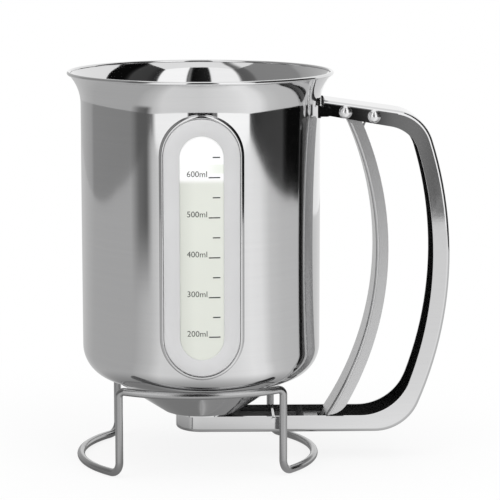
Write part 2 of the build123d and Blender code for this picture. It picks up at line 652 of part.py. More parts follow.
# ---------------------------------------------------------------- stand
def stand_wire():
    """One closed wire: two feet on the table, four posts and two bowed bars under the cup."""
    radius = CUP_R - STAND_INSET
    foot = radians(FOOT_ANGLE)
    heading = radians(BAR_HEADING)
    dip = radians(BAR_DIP)
    foot_x, foot_y = radius * cos(foot), radius * sin(foot)
    post_x = foot_x - FOOT_BEND_R * sin(foot)
    post_y = foot_y + FOOT_BEND_R * cos(foot)
    bend_run = BAR_BEND_R * (1 + sin(dip))
    bar_x = post_x - bend_run * cos(heading)
    bar_y = post_y + bend_run * sin(heading)
    half_turn = acos(cos(dip) * cos(heading))
    bow = bar_x * tan(half_turn / 2) / sin(half_turn)
    bow_y = bar_y + bow * cos(dip) * sin(heading)
    touch = CORNER_R + WIRE_R + REST_GAP
    middle_z = CORNER_Z - sqrt(touch ** 2 - (bow_y - CORNER_X) ** 2)
    bar_z = middle_z + bow * sin(dip)
    edges = []
    for side_x in (-1, 1):
        foot_end = (side_x * foot_x, foot_y, WIRE_R)
        foot_mid = (side_x * radius, 0, WIRE_R)
        edges.append(ThreePointArc((side_x * foot_x, -foot_y, WIRE_R), foot_mid, foot_end))
        for side_y in (-1, 1):
            a = (side_x * foot_x, side_y * foot_y, WIRE_R)
            b = (side_x * post_x, side_y * post_y, WIRE_R + FOOT_BEND_R)
            c = (side_x * post_x, side_y * post_y, bar_z - BAR_BEND_R * cos(dip))
            d = (side_x * bar_x, side_y * bar_y, bar_z)
            along = (-side_x * sin(foot), side_y * cos(foot), 0)
            edges.append(TangentArc(a, b, tangent=along))
            edges.append(Line(b, c))
            edges.append(TangentArc(c, d, tangent=(0, 0, 1)))
    for side_y in (-1, 1):
        a = (-bar_x, side_y * bar_y, bar_z)
        b = (bar_x, side_y * bar_y, bar_z)
        edges.append(ThreePointArc(a, (0, side_y * bow_y, middle_z), b))
    return Pos(STAND_SHIFT_X, 0, 0) * Rot(0, 0, STAND_TURN) * rod(edges, WIRE_R)


# ---------------------------------------------------------------- all pieces
PIECES = {
    "stand_wire": stand_wire,
    "cup_body": cup_body,
    "window_gasket": window_gasket,
    "window_pane": window_pane,
    "window_band": window_band,
    "window_trim": window_trim,
    "outlet_saddle": outlet_saddle,
    "outlet_nozzle": outlet_nozzle,
    "nozzle_lock_ring": lock_ring,
    "nozzle_seal": nozzle_seal,
    "handle_channel": handle_channel,
    "handle_bracket": handle_bracket,
    "trigger_pivot_pin": lambda: rivet(*PIVOT, PIVOT_R, CHANNEL_W / 2),
    "spring_pin": lambda: rivet(*SPRING_PIN, SPRING_PIN_R, CHANNEL_W / 2),
    "rivet_caps": rivet_caps,
    "spring_sleeves": spring_sleeves,
    "torsion_spring": torsion_spring,
    "gate_hold_down_pin": gate_hold_down_pin,
    "trigger_lever": trigger_lever,
    "pivot_bush": pivot_bush,
    "slide_gate": slide_gate,
}

if __name__ == "__main__":
    os.makedirs("parts", exist_ok=True)
    for name, make in PIECES.items():
        export_step(Pos(ORIGIN_X, 0, 0) * make(), f"parts/{name}.step")
    print(f"origin moved along X by {ORIGIN_X:.3f} mm")
    print(f"gate travel {GATE_TRAVEL:.3f} mm, trigger swing {TRIGGER_SWING:.3f} degrees")
    print(f"gate travel per radian {LEVER_ARM:.3f} mm")
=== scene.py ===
"""Looks of a pancake batter dispenser: polished funnel cup, brushed handle and wire stand.

The scene is in metres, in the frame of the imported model: +Z up, the handle towards +X and the
measuring window towards -Y. Sizes in the classes are millimetres from the foot of the cup's axis,
unless their description names another unit.
"""
import logging
import math
from dataclasses import dataclass
from enum import Enum
from functools import cache

import bmesh
import bpy
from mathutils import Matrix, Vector


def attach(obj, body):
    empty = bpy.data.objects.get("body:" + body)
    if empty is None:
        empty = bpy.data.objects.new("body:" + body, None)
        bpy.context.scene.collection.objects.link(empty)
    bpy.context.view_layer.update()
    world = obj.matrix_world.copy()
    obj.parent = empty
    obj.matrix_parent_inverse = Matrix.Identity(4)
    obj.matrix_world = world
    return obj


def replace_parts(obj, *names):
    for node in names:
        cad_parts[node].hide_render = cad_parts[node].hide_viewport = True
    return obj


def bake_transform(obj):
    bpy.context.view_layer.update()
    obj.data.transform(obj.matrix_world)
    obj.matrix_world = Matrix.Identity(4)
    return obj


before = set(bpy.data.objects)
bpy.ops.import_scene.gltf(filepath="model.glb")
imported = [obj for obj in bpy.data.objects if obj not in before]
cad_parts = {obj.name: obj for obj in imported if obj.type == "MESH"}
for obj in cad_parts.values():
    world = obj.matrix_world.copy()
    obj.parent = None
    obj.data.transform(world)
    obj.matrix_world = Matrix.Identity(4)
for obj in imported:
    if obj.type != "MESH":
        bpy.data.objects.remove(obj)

LOG = logging.getLogger("dispenser")
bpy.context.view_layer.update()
MM = 0.001
CUP_AXIS_X = -0.0226

Node = bpy.types.Node
NodeTree = bpy.types.NodeTree
Socket = bpy.types.NodeSocket
Material = bpy.types.Material
Mesh = bpy.types.Mesh
Object = bpy.types.Object
Point = tuple[float, float]
Place = tuple[float, float, float]
Colour = tuple[float, float, float]
Opaque = tuple[float, float, float, float]
Materials = dict[str, Material]


def place(x: float, y: float, z: float) -> Vector:
    """Turn millimetres from the foot of the cup's axis into a point of the frame, in metres."""
    return Vector((x * MM + CUP_AXIS_X, y * MM, z * MM))


def opaque(colour: Colour, factor: float = 1.0) -> Opaque:
    """Make a colour lighter or darker by a factor and add full opacity."""
    return tuple(factor * level for level in colour) + (1.0,)


def grey(level: float) -> Opaque:
    """Make an opaque grey."""
    return level, level, level, 1.0


# ------------------------------------------------------------------ shader node helpers
class Shader:
    """A node tree with short ways to add and link nodes."""

    def __init__(self, tree: NodeTree) -> None:
        """Keep the tree that the nodes go into."""
        self.tree = tree

    def add(self, kind: str, inputs: dict | None = None, **settings: object) -> Node:
        """Add a node, set its properties and fill or link its inputs.

        Args:
            kind: the node's type name.
            inputs: socket name or index to a value or to the output that feeds it.
            settings: properties of the node.

        Returns:
            The new node.
        """
        node = self.tree.nodes.new(kind)
        for key, value in settings.items():
            setattr(node, key, value)
        for key, value in (inputs or {}).items():
            self.feed(node.inputs[key], value)
        return node

    def feed(self, target: Socket, value: object) -> None:
        """Set an input or link an output to it.

        Args:
            target: the input.
            value: a plain value or an output.
        """
        if isinstance(value, bpy.types.NodeSocket):
            self.tree.links.new(value, target)
        else:
            target.default_value = value

    def effect(self, group: NodeTree, **values: object) -> Node:
        """Place an effect's node group and fill or link its inputs by name."""
        return self.add("ShaderNodeGroup", values, node_tree=group)

    def math(self, operation: str, *values: float | Socket) -> Socket:
        """Calculate with numbers or outputs by a Math node."""
        return self.add("ShaderNodeMath", dict(enumerate(values)), operation=operation).outputs[0]

    def ramp(self, value: Socket, low: float, high: float, to: Point = (0.0, 1.0)) -> Socket:
        """Map a value smoothly from one range to another.

        Args:
            value: the output to map.
            low: where the old range starts.
            high: where the old range ends.
            to: the new range.

        Returns:
            The mapped value's socket.
        """
        node = self.add(
            "ShaderNodeMapRange",
            {"Value": value, "From Min": low, "From Max": high, "To Min": to[0], "To Max": to[1]},
            interpolation_type="SMOOTHSTEP",
        )
        return node.outputs["Result"]

    def ramp_mm(self, value: Socket, low: float, high: float, to: Point = (0.0, 1.0)) -> Socket:
        """Map a length smoothly; the old range is given in millimetres."""
        return self.ramp(value, low * MM, high * MM, to)

    def blend(self, factor: float | Socket, first: object, second: object) -> Socket:
        """Mix two colours or outputs; a factor of 0 gives the first, 1 the second."""
        # A Mix node has sockets for each data type: inputs 6 and 7 and output 2 are the colours.
        node = self.add("ShaderNodeMix", {0: factor, 6: first, 7: second}, data_type="RGBA")
        return node.outputs[2]

    def axes(self, vector: Socket) -> tuple[Socket, Socket, Socket]:
        """Split a vector into X, Y and Z."""
        return tuple(self.add("ShaderNodeSeparateXYZ", {0: vector}).outputs)

    def from_cup_axis(self) -> tuple[Socket, Socket, Socket]:
        """Where a point lies, counted from the foot of the cup's axis.

        Returns:
            X, Y and Z in metres.
        """
        where = self.add("ShaderNodeTexCoord").outputs["Object"]
        x, y, z = self.axes(where)
        return self.math("SUBTRACT", x, CUP_AXIS_X), y, z

    def off_cup_axis(self) -> Socket:
        """How far a point lies from the cup's axis.

        Returns:
            The distance in metres.
        """
        x, y, _ = self.from_cup_axis()
        squares = self.math("ADD", self.math("MULTIPLY", x, x), self.math("MULTIPLY", y, y))
        return self.math("SQRT", squares)

    def show(self, output: Socket) -> None:
        """Put a shader out as the material's surface."""
        self.feed(self.tree.nodes["Material Output"].inputs["Surface"], output)


def new_material(name: str) -> tuple[Material, Shader, Node]:
    """Start a material.

    Args:
        name: the material's name.

    Returns:
        The material, its shader helper and its Principled node.
    """
    material = bpy.data.materials.new(name)
    material.use_nodes = True
    return material, Shader(material.node_tree), material.node_tree.nodes["Principled BSDF"]


class Effects:
    """Node groups for what more than one finish shows; each is built once.

    Attributes:
        NOISE_MEAN: the middle of a noise's values.
        BROAD_SHARE: weight of the grain's broad lines beside its fine ones.
        BROAD_SCALE: scale of the broad lines.
        SMUDGE: noise values between which a smudge sets in.
        CLOUD_SCALE: scale of a moulding's slow change of shade.
        CLOUD: noise values between which the shade changes.
    """

    NOISE_MEAN = 0.5
    BROAD_SHARE = 0.5
    BROAD_SCALE = 0.21
    SMUDGE = (0.48, 0.72)
    CLOUD_SCALE = 45.0
    CLOUD = (0.3, 0.7)

    @staticmethod
    def _start(name: str, inputs: tuple[str, ...],
               outputs: tuple[str, ...]) -> tuple[Shader, Node, Node]:
        """Start a node group with its interface; a socket called Vector holds a vector.

        Args:
            name: the group's name.
            inputs: names of its inputs.
            outputs: names of its outputs.

        Returns:
            The shader helper, the group's input node and its output node.
        """
        tree = bpy.data.node_groups.new(name, "ShaderNodeTree")
        for direction, labels in (("INPUT", inputs), ("OUTPUT", outputs)):
            for label in labels:
                kind = "NodeSocketVector" if label == "Vector" else "NodeSocketFloat"
                tree.interface.new_socket(name=label, in_out=direction, socket_type=kind)
        shader = Shader(tree)
        return shader, shader.add("NodeGroupInput"), shader.add("NodeGroupOutput")

    @classmethod
    @cache
    def grain(cls) -> NodeTree:
        """Fine lines of a brush or a die along one direction of the coordinates.

        Returns:
            The group: Vector and Contrast in, Height and Tone out.
        """
        shader, start, end = cls._start(
            "metal_grain", ("Vector", "Contrast"), ("Height", "Tone"))
        vector = start.outputs["Vector"]
        fine = shader.add("ShaderNodeTexNoise", {
            "Vector": vector, "Scale": 1.0, "Detail": 4.0, "Roughness": 0.7})
        broad = shader.add("ShaderNodeTexNoise", {
            "Vector": vector, "Scale": cls.BROAD_SCALE, "Detail": 2.0, "Roughness": 0.5})
        both = shader.math("MULTIPLY_ADD", broad.outputs[0], cls.BROAD_SHARE, fine.outputs[0])
        centred = shader.math("SUBTRACT", both, cls.NOISE_MEAN * (1.0 + cls.BROAD_SHARE))
        tone = shader.math("MULTIPLY_ADD", centred, start.outputs["Contrast"], cls.NOISE_MEAN)
        shader.feed(end.inputs["Height"], both)
        shader.feed(end.inputs["Tone"], tone)
        return shader.tree

    @classmethod
    @cache
    def handling(cls) -> NodeTree:
        """Faint wiping marks and finger smudges that dull a smooth surface in places.

        Returns:
            The group: Scale in, Smudge out, between 0 and 1.
        """
        shader, start, end = cls._start("handling_marks", ("Scale",), ("Smudge",))
        where = shader.add("ShaderNodeTexCoord").outputs["Object"]
        cloud = shader.add("ShaderNodeTexNoise", {
            "Vector": where, "Scale": start.outputs["Scale"], "Detail": 5.0, "Roughness": 0.6,
            "Distortion": 0.4})
        shader.feed(end.inputs["Smudge"], shader.ramp(cloud.outputs[0], *cls.SMUDGE))
        return shader.tree

    @classmethod
    @cache
    def moulding(cls) -> NodeTree:
        """The fine matt texture that a spark-eroded mould leaves.

        Returns:
            The group: Scale in, Height and Shade out.
        """
        shader, start, end = cls._start("moulded_texture", ("Scale",), ("Height", "Shade"))
        where = shader.add("ShaderNodeTexCoord").outputs["Object"]
        grit = shader.add("ShaderNodeTexVoronoi", {
            "Vector": where, "Scale": start.outputs["Scale"]}, feature="SMOOTH_F1")
        cloud = shader.add("ShaderNodeTexNoise", {
            "Vector": where, "Scale": cls.CLOUD_SCALE, "Detail": 3.0})
        shader.feed(end.inputs["Height"], grit.outputs["Distance"])
        shader.feed(end.inputs["Shade"], shader.ramp(cloud.outputs[0], *cls.CLOUD))
        return shader.tree


# ------------------------------------------------------------------ finishes
class Lines(Enum):
    """Direction of the fine lines in a metal surface, with the coordinates' scale on each axis.

    Around the cup the first two are the direction from its axis and the height.
    """

    NONE = (90.0, 90.0, 90.0)
    AROUND_CUP = (1.0, 2600.0, 1.0)
    ALONG_HANDLE = (90.0, 300.0, 3200.0)
    ALONG_WIRE = (900.0, 900.0, 120.0)


@dataclass(frozen=True)
class Steel:
    """A stainless steel finish.

    Attributes:
        name: the material's name.
        tone: grey level of the metal.
        roughness: of the plain surface.
        smear: how far reflections are drawn out across the lines, 0 to 1.
        lines: direction of the fine lines.
        depth: height of the lines in metres.
        contrast: how much the lines change the tone.
        smudges: how much the handling marks add to the roughness.
        dark: colour of the darkest lines, as shares of the tone.
        smudge_scale: scale of the handling marks.
        smear_turn: direction of the smear, in turns from the tangent.
        relief: strength of the lines' height.
    """

    name: str
    tone: float = 0.7
    roughness: float = 0.2
    smear: float = 0.0
    lines: Lines = Lines.NONE
    depth: float = 0.0
    contrast: float = 0.35
    smudges: float = 0.04
    dark: Colour = (0.86, 0.86, 0.87)
    smudge_scale: float = 38.0
    smear_turn: float = 0.25
    relief: float = 0.6

    def build(self) -> Material:
        """Make the material.

        Returns:
            The material.
        """
        material, shader, surface = new_material(self.name)
        surface.inputs["Metallic"].default_value = 1.0
        surface.inputs["Anisotropic"].default_value = self.smear
        surface.inputs["Anisotropic Rotation"].default_value = self.smear_turn
        grain = shader.effect(
            Effects.grain(), Contrast=self.contrast, Vector=self._coordinates(shader))
        marks = shader.effect(Effects.handling(), Scale=self.smudge_scale)
        colour = shader.blend(
            grain.outputs["Tone"], opaque(self.dark, self.tone), grey(self.tone))
        rough = shader.math("MULTIPLY_ADD", marks.outputs["Smudge"], self.smudges, self.roughness)
        colour, rough = self._shade_inside(shader, colour, rough)
        shader.feed(surface.inputs["Base Color"], colour)
        shader.feed(surface.inputs["Roughness"], rough)
        if self.depth:
            bump = shader.add("ShaderNodeBump", {
                "Height": grain.outputs["Height"], "Distance": self.depth,
                "Strength": self.relief})
            shader.feed(surface.inputs["Normal"], bump.outputs[0])
        if self.smear:
            tangent = shader.add("ShaderNodeTangent", direction_type="RADIAL", axis="Z")
            shader.feed(surface.inputs["Tangent"], tangent.outputs[0])
        return material

    def _shade_inside(self, shader: Shader, colour: Socket, rough: Socket) -> tuple[Socket, Socket]:
        """Leave the surface the same inside and outside."""
        return colour, rough

    def _coordinates(self, shader: Shader) -> Socket:
        """Coordinates that are drawn out along the lines.

        Args:
            shader: the material's shader helper.

        Returns:
            The coordinates' socket.
        """
        if self.lines is Lines.AROUND_CUP:
            x, y, z = shader.from_cup_axis()
            turn = shader.math("ARCTAN2", y, x)
            where = shader.add("ShaderNodeCombineXYZ", {0: turn, 1: z}).outputs[0]
        else:
            where = shader.add("ShaderNodeTexCoord").outputs["Object"]
        mapping = shader.add("ShaderNodeMapping", {"Vector": where, "Scale": self.lines.value})
        return mapping.outputs[0]


@dataclass(frozen=True)
class FoldedSteel(Steel):
    """Steel sheet folded into a channel, polished outside; inside it is rougher, and its colour is
    darkened as painted shade.

    Attributes:
        inner_half: half the width between the flanges, in millimetres.
        loop: X and Z of a point that the channel's open side faces, in millimetres.
        facing: 1 if the channel opens towards that point, -1 if away from it.
        margin: how far past the flanges' inner faces still counts as inside, in millimetres.
        least_turn: how clearly a face has to look inward, in metres.
        inside_shade: how much darker the inside is painted than the outside, as painted shade in
            the channel.
        dull_roughness: what the inside's roughness is higher by.
    """

    inner_half: float = 9.8
    loop: Point = (45.0, 75.0)
    facing: float = 1.0
    margin: float = 0.05
    least_turn: float = 0.0005
    inside_shade: float = 0.25
    dull_roughness: float = 0.12

    def _shade_inside(self, shader: Shader, colour: Socket, rough: Socket) -> tuple[Socket, Socket]:
        """Paint shade into the colour of the faces between the flanges, and roughen them.

        Args:
            shader: the material's shader helper.
            colour: the outside's colour.
            rough: the outside's roughness.

        Returns:
            Colour and roughness for the whole sheet.
        """
        normal = shader.add("ShaderNodeTexCoord").outputs["Normal"]
        normal_x, normal_y, normal_z = shader.axes(normal)
        x, y, z = shader.from_cup_axis()
        reach_x = shader.math("SUBTRACT", self.loop[0] * MM, x)
        reach_z = shader.math("SUBTRACT", self.loop[1] * MM, z)
        along_x = shader.math("MULTIPLY", normal_x, reach_x)
        along_z = shader.math("MULTIPLY", normal_z, reach_z)
        in_plane = shader.math("MULTIPLY", shader.math("ADD", along_x, along_z), self.facing)
        across = shader.math("MULTIPLY", normal_y, y)
        towards = shader.math("SUBTRACT", in_plane, across)
        turned_in = shader.math("GREATER_THAN", towards, self.least_turn)
        offside = shader.math("ABSOLUTE", y)
        between = shader.math("LESS_THAN", offside, (self.inner_half + self.margin) * MM)
        inside = shader.math("MULTIPLY", turned_in, between)
        # Painted shade: the faces between the flanges are darkened, standing in for the channel's
        # shadow.
        shaded_inside_colour = shader.blend(inside, colour, grey(self.tone * self.inside_shade))
        dull_rough = shader.math("MULTIPLY_ADD", inside, self.dull_roughness, rough)
        return shaded_inside_colour, dull_rough


@dataclass(frozen=True)
class Plastic:
    """A moulded plastic or silicone finish.

    Attributes:
        name: the material's name.
        colour: of the plain surface.
        roughness: of the plain surface.
        texture: depth of the fine moulded texture in metres.
        relief: strength of that texture's height.
        grit_scale: scale of that texture.
        batch: how dark the darkest places are, as a share of the colour.
        smudges: how much the handling marks add to the roughness.
        smudge_scale: scale of the handling marks.
    """

    name: str
    colour: Colour = (0.8, 0.8, 0.8)
    roughness: float = 0.45
    texture: float = 0.00003
    relief: float = 0.3
    grit_scale: float = 3200.0
    batch: float = 0.96
    smudges: float = 0.08
    smudge_scale: float = 60.0

    def build(self) -> Material:
        """Make the material.

        Returns:
            The material.
        """
        material, shader, surface = new_material(self.name)
        marks = shader.effect(Effects.handling(), Scale=self.smudge_scale)
        mould = shader.effect(Effects.moulding(), Scale=self.grit_scale)
        shader.feed(surface.inputs["Base Color"], self._colour(shader, mould.outputs["Shade"]))
        rough = shader.math("MULTIPLY_ADD", marks.outputs["Smudge"], self.smudges, self.roughness)
        shader.feed(surface.inputs["Roughness"], rough)
        bump = shader.add("ShaderNodeBump", {
            "Height": mould.outputs["Height"], "Distance": self.texture,
            "Strength": self.relief})
        shader.feed(surface.inputs["Normal"], bump.outputs[0])
        return material

    def _colour(self, shader: Shader, shade: Socket) -> Socket:
        """Vary the colour a little, as batches of granulate do."""
        return shader.blend(shade, opaque(self.colour), opaque(self.colour, self.batch))


@dataclass(frozen=True)
class FilledPane(Plastic):
    """The pane with batter behind it up to a level.

    Attributes:
        empty: colour above the batter.
        surface_low: lowest height at which the batter's top shows, in millimetres.
        surface_high: highest height at which it shows.
        surface_soft: half the height over which the batter's lower line fades.
        bottom: height at which the batter is darkest.
        deep: how dark it is there, as a share of the colour.
        mottle: how much the slow change of shade darkens it.
        side: X of the start and end of the shade that the wall throws from the left.
        side_amount: the most of that shade.
        side_level: how dark it is, as a share of the colour.
        rim_tint: colour of the batter's edge against the wall.
        rim_soft: heights over which that edge fades in at its foot and out at its top.
        rim_side: X between which the edge grows stronger towards the right.
        rim_amounts: its strength at both.
    """

    empty: Colour = (0.93, 0.93, 0.93)
    surface_low: float = 116.3
    surface_high: float = 123.0
    surface_soft: float = 1.2
    bottom: float = 45.0
    deep: float = 0.95
    mottle: float = 0.4
    side: Point = (-8.5, -2.0)
    side_amount: float = 0.7
    side_level: float = 0.8
    rim_tint: Colour = (0.80, 0.84, 0.76)
    rim_soft: Point = (0.8, 0.6)
    rim_side: Point = (1.0, 7.0)
    rim_amounts: Point = (0.15, 0.8)

    def _colour(self, shader: Shader, shade: Socket) -> Socket:
        """Colour by height: empty cup, the batter's top, and the batter itself.

        Args:
            shader: the material's shader helper.
            shade: the moulding's slow variation.

        Returns:
            The colour's socket.
        """
        x, _, z = shader.from_cup_axis()
        low, high, soft = self.surface_low, self.surface_high, self.surface_soft
        deep = opaque(self.colour, self.deep)
        depth = shader.ramp_mm(z, self.bottom, low, (1.0, 0.0))
        batter = shader.blend(depth, opaque(self.colour), deep)
        batter = shader.blend(shader.math("MULTIPLY", shade, self.mottle), batter, deep)
        from_side = shader.ramp_mm(x, *self.side, (self.side_amount, 0.0))
        batter = shader.blend(from_side, batter, opaque(self.colour, self.side_level))
        above = shader.ramp_mm(z, low - soft, low + soft)
        filled = shader.blend(above, batter, opaque(self.empty))
        middle = (low + high) / 2
        foot, top = self.rim_soft
        above_foot = shader.ramp_mm(z, middle - foot, middle)
        under_top = shader.ramp_mm(z, high - top, high, (1.0, 0.0))
        to_right = shader.ramp_mm(x, *self.rim_side, self.rim_amounts)
        band = shader.math("MULTIPLY", shader.math("MULTIPLY", above_foot, under_top), to_right)
        return shader.blend(band, filled, opaque(self.rim_tint))


@dataclass(frozen=True)
class Ink:
    """Screen-printed ink, slightly uneven where it was laid down.

    Attributes:
        name: the material's name.
        level: grey level of the ink.
        thin: how much lighter it is where it is thin.
        grit_scale: scale of its texture.
        roughness: of its surface.
    """

    name: str = "scale_ink"
    level: float = 0.008
    thin: float = 2.4
    grit_scale: float = 5200.0
    roughness: float = 0.55

    def build(self) -> Material:
        """Make the material.

        Returns:
            The material.
        """
        material, shader, surface = new_material(self.name)
        mould = shader.effect(Effects.moulding(), Scale=self.grit_scale)
        colour = shader.blend(
            mould.outputs["Shade"], grey(self.level), grey(self.level * self.thin))
        shader.feed(surface.inputs["Base Color"], colour)
        surface.inputs["Roughness"].default_value = self.roughness
        return material


@dataclass(frozen=True)
class Finishes:
    """Every finish of the object."""

    polished: Steel = Steel("polished_steel", tone=0.75, roughness=0.06, lines=Lines.AROUND_CUP,
                            smear=0.35, smudges=0.015, contrast=0.5)
    handle: Steel = FoldedSteel("brushed_handle", tone=0.72, roughness=0.05, contrast=0.5,
                                lines=Lines.ALONG_HANDLE, depth=0.0000015)
    trigger: Steel = FoldedSteel("brushed_trigger", tone=0.66, roughness=0.26, contrast=0.5,
                                 lines=Lines.ALONG_HANDLE, depth=0.0000015, inner_half=8.5,
                                 facing=-1.0)
    rivet: Steel = Steel("rivet_steel", tone=0.88, roughness=0.24, contrast=0.2)
    satin: Steel = Steel("satin_steel", tone=0.42, roughness=0.3)
    wire: Steel = Steel("satin_wire", tone=0.44, roughness=0.18, lines=Lines.ALONG_WIRE)
    spring: Steel = Steel("spring_steel", tone=0.5, roughness=0.25, lines=Lines.ALONG_WIRE)
    silicone: Plastic = Plastic("silicone", (0.82, 0.82, 0.8), roughness=0.5)
    pane: Plastic = FilledPane("clear_pane", (0.71, 0.73, 0.67), roughness=0.3, texture=0.0)
    bezel: Plastic = Plastic("grey_plastic", (0.6, 0.6, 0.605), roughness=0.5)
    white: Plastic = Plastic("white_plastic", (0.84, 0.84, 0.82), roughness=0.4)
    ink: Ink = Ink()

    def build(self) -> Materials:
        """Make all materials and give them out by name."""
        return {finish.name: finish.build() for finish in vars(self).values()}


# ------------------------------------------------------------------ mesh helpers
def put_in_scene(name: str, data: bpy.types.ID) -> Object:
    """Make an object of a mesh, curve, camera or lamp and link it to the scene.

    Args:
        name: the object's name.
        data: what it shows.

    Returns:
        The object.
    """
    thing = bpy.data.objects.new(name, data)
    bpy.context.scene.collection.objects.link(thing)
    return thing


def dress(mesh: Mesh, material: Material) -> None:
    """Give a mesh one material."""
    mesh.materials.clear()
    mesh.materials.append(material)


def make_piece(name: str, mesh: Mesh, material: Material, body: str) -> Object:
    """Put a mesh in the scene as a piece that rides on a body.

    Args:
        name: the piece's name.
        mesh: its mesh.
        material: its finish.
        body: the CAD body that carries it, or nothing for a piece that no body carries.

    Returns:
        The new object.
    """
    piece = put_in_scene(name, mesh)
    dress(mesh, material)
    if body:
        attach(piece, body)
    LOG.info("piece %s rides on %s", name, body or "two bodies")
    return piece


def smooth(mesh: Mesh, degrees: float) -> None:
    """Shade a mesh smooth, with edges sharper than an angle kept."""
    mesh.shade_smooth()
    mesh.set_sharp_from_angle(angle=math.radians(degrees))


def plain_mesh(name: str, points: list[Vector], faces: list[tuple[int, ...]]) -> Mesh:
    """Make a mesh of points and faces.

    Args:
        name: the mesh's name.
        points: its corners.
        faces: the corners of each face.

    Returns:
        The mesh.
    """
    mesh = bpy.data.meshes.new(name)
    mesh.from_pydata([tuple(point) for point in points], [], faces)
    return mesh


def skin(name: str, loops: list[list[Vector]], ring: bool = True) -> Mesh:
    """Join closed loops of points into a closed surface whose faces look outward.

    Args:
        name: the mesh's name.
        loops: the loops, each with as many points.
        ring: whether the last loop joins the first; if not, both ends get a lid.

    Returns:
        The mesh.
    """
    count = len(loops[0])
    faces = []
    if not ring:
        last = (len(loops) - 1) * count
        faces = [tuple(range(count)), tuple(range(last, last + count))]
    for row in range(len(loops) if ring else len(loops) - 1):
        near = row * count
        far = (row + 1) % len(loops) * count
        for column in range(count):
            after = (column + 1) % count
            faces.append((near + column, near + after, far + after, far + column))
    mesh = plain_mesh(name, [point for loop in loops for point in loop], faces)
    outward = bmesh.new()
    outward.from_mesh(mesh)
    bmesh.ops.recalc_face_normals(outward, faces=outward.faces)
    outward.to_mesh(mesh)
    outward.free()
    return mesh


def tube(name: str, path: list[Vector], radius: float, sides: int) -> Mesh:
    """A round wire along a path, closed at both ends.

    Args:
        name: the mesh's name.
        path: points of its centre line.
        radius: of the wire, in metres.
        sides: facets round the wire.

    Returns:
        The mesh.
    """
    across = Vector((0.0, 1.0, 0.0))
    loops = []
    for index, point in enumerate(path):
        along = path[min(index + 1, len(path) - 1)] - path[max(index - 1, 0)]
        along.normalize()
        across = (across - along * across.dot(along)).normalized()
        upward = along.cross(across)
        turns = [2 * math.pi * side / sides for side in range(sides)]
        loops.append([point + (across * math.cos(turn) + upward * math.sin(turn)) * radius
                      for turn in turns])
    return skin(name, loops, ring=False)


def arc(centre: Point, radius: float, start: float, end: float, steps: int) -> list[Point]:
    """Points of an arc, both ends included.

    Args:
        centre: of the arc.
        radius: of the arc.
        start: first angle in degrees.
        end: last angle in degrees.
        steps: number of stretches.

    Returns:
        The points.
    """
    points = []
    for step in range(steps + 1):
        turn = math.radians(start + (end - start) * step / steps)
        points.append((centre[0] + radius * math.cos(turn), centre[1] + radius * math.sin(turn)))
    return points


def cut(piece: Object, tool: Object) -> None:
    """Take one closed mesh out of another and drop the tool.

    Args:
        piece: the object that is cut.
        tool: the object that cuts.
    """
    boolean = piece.modifiers.new("cut", "BOOLEAN")
    boolean.operation = "DIFFERENCE"
    boolean.solver = "EXACT"
    boolean.object = tool
    graph = bpy.context.evaluated_depsgraph_get()
    result = bpy.data.meshes.new_from_object(piece.evaluated_get(graph))
    piece.modifiers.clear()
    piece.data = result
    bpy.data.objects.remove(tool)


# ------------------------------------------------------------------ sub-assemblies
@dataclass(frozen=True)
class SubAssembly:
    """Pieces that are put together as one.

    Attributes:
        nodes: each CAD node with the name of its finish.
    """

    nodes: tuple[tuple[str, str], ...] = ()

    def dress_nodes(self, materials: Materials) -> None:
        """Give each CAD node its finish.

        Args:
            materials: the finishes by name.
        """
        for name, finish in self.nodes:
            dress(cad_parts[name].data, materials[finish])
            LOG.info("node %s gets %s", name, finish)

    def build(self, materials: Materials) -> list[Object]:
        """Make the pieces that the CAD nodes lack: none, where those nodes are right."""
        return []


@dataclass(frozen=True)
class Stand(SubAssembly):
    """The bent-wire stand."""

    nodes: tuple[tuple[str, str], ...] = (("stand_wire", "satin_wire"),)


@dataclass(frozen=True)
class Outlet(SubAssembly):
    """What lies under the funnel: saddle, nozzle, seal, and the gate that shuts it."""

    nodes: tuple[tuple[str, str], ...] = (
        ("outlet_saddle", "polished_steel"), ("outlet_nozzle", "satin_steel"),
        ("nozzle_lock_ring", "satin_steel"), ("nozzle_seal", "silicone"),
        ("slide_gate", "satin_steel"), ("gate_hold_down_pin", "polished_steel"))


@dataclass(frozen=True)
class Handle(SubAssembly):
    """The folded channel and the bracket that holds it to the cup."""

    nodes: tuple[tuple[str, str], ...] = (
        ("handle_channel", "brushed_handle"), ("handle_bracket", "polished_steel"))


@dataclass(frozen=True)
class Outline:
    """The window's outline: a slot with round ends, seen along Y.

    Attributes:
        width: clear width, measured round the wall.
        low: lower end of the clear opening.
        high: its upper end.
        wall_radius: radius that the width is measured on.
        end_steps: stretches in each round end.
        side_steps: stretches in each straight side.
    """

    width: float = 16.6
    low: float = 48.7
    high: float = 133.3
    wall_radius: float = 46.7
    end_steps: int = 28
    side_steps: int = 12

    def points(self, land: float) -> list[Point]:
        """The outline, wider than the clear opening by a land all round.

        Args:
            land: the extra width.

        Returns:
            X and Z of each point.
        """
        half = self.wall_radius * math.sin((self.width / 2 + land) / self.wall_radius)
        top = arc((0.0, self.high + land - half), half, 0.0, 180.0, self.end_steps)
        bottom = arc((0.0, self.low - land + half), half, 180.0, 360.0, self.end_steps)
        return top + self._side(top[-1], bottom[0]) + bottom + self._side(bottom[-1], top[0])

    def _side(self, start: Point, end: Point) -> list[Point]:
        """Points between the ends of a straight side.

        Args:
            start: one end.
            end: the other end.

        Returns:
            The points in between.
        """
        count = self.side_steps
        rise = end[1] - start[1]
        return [(start[0], start[1] + rise * step / count) for step in range(1, count)]

    def prism(self, land: float, near: float, far: float) -> Object:
        """A cutting solid that reaches between two distances from the axis towards the window."""
        loops = [[place(x, -depth, z) for x, z in self.points(land)] for depth in (near, far)]
        return put_in_scene("window_tool", skin("window_tool", loops, ring=False))


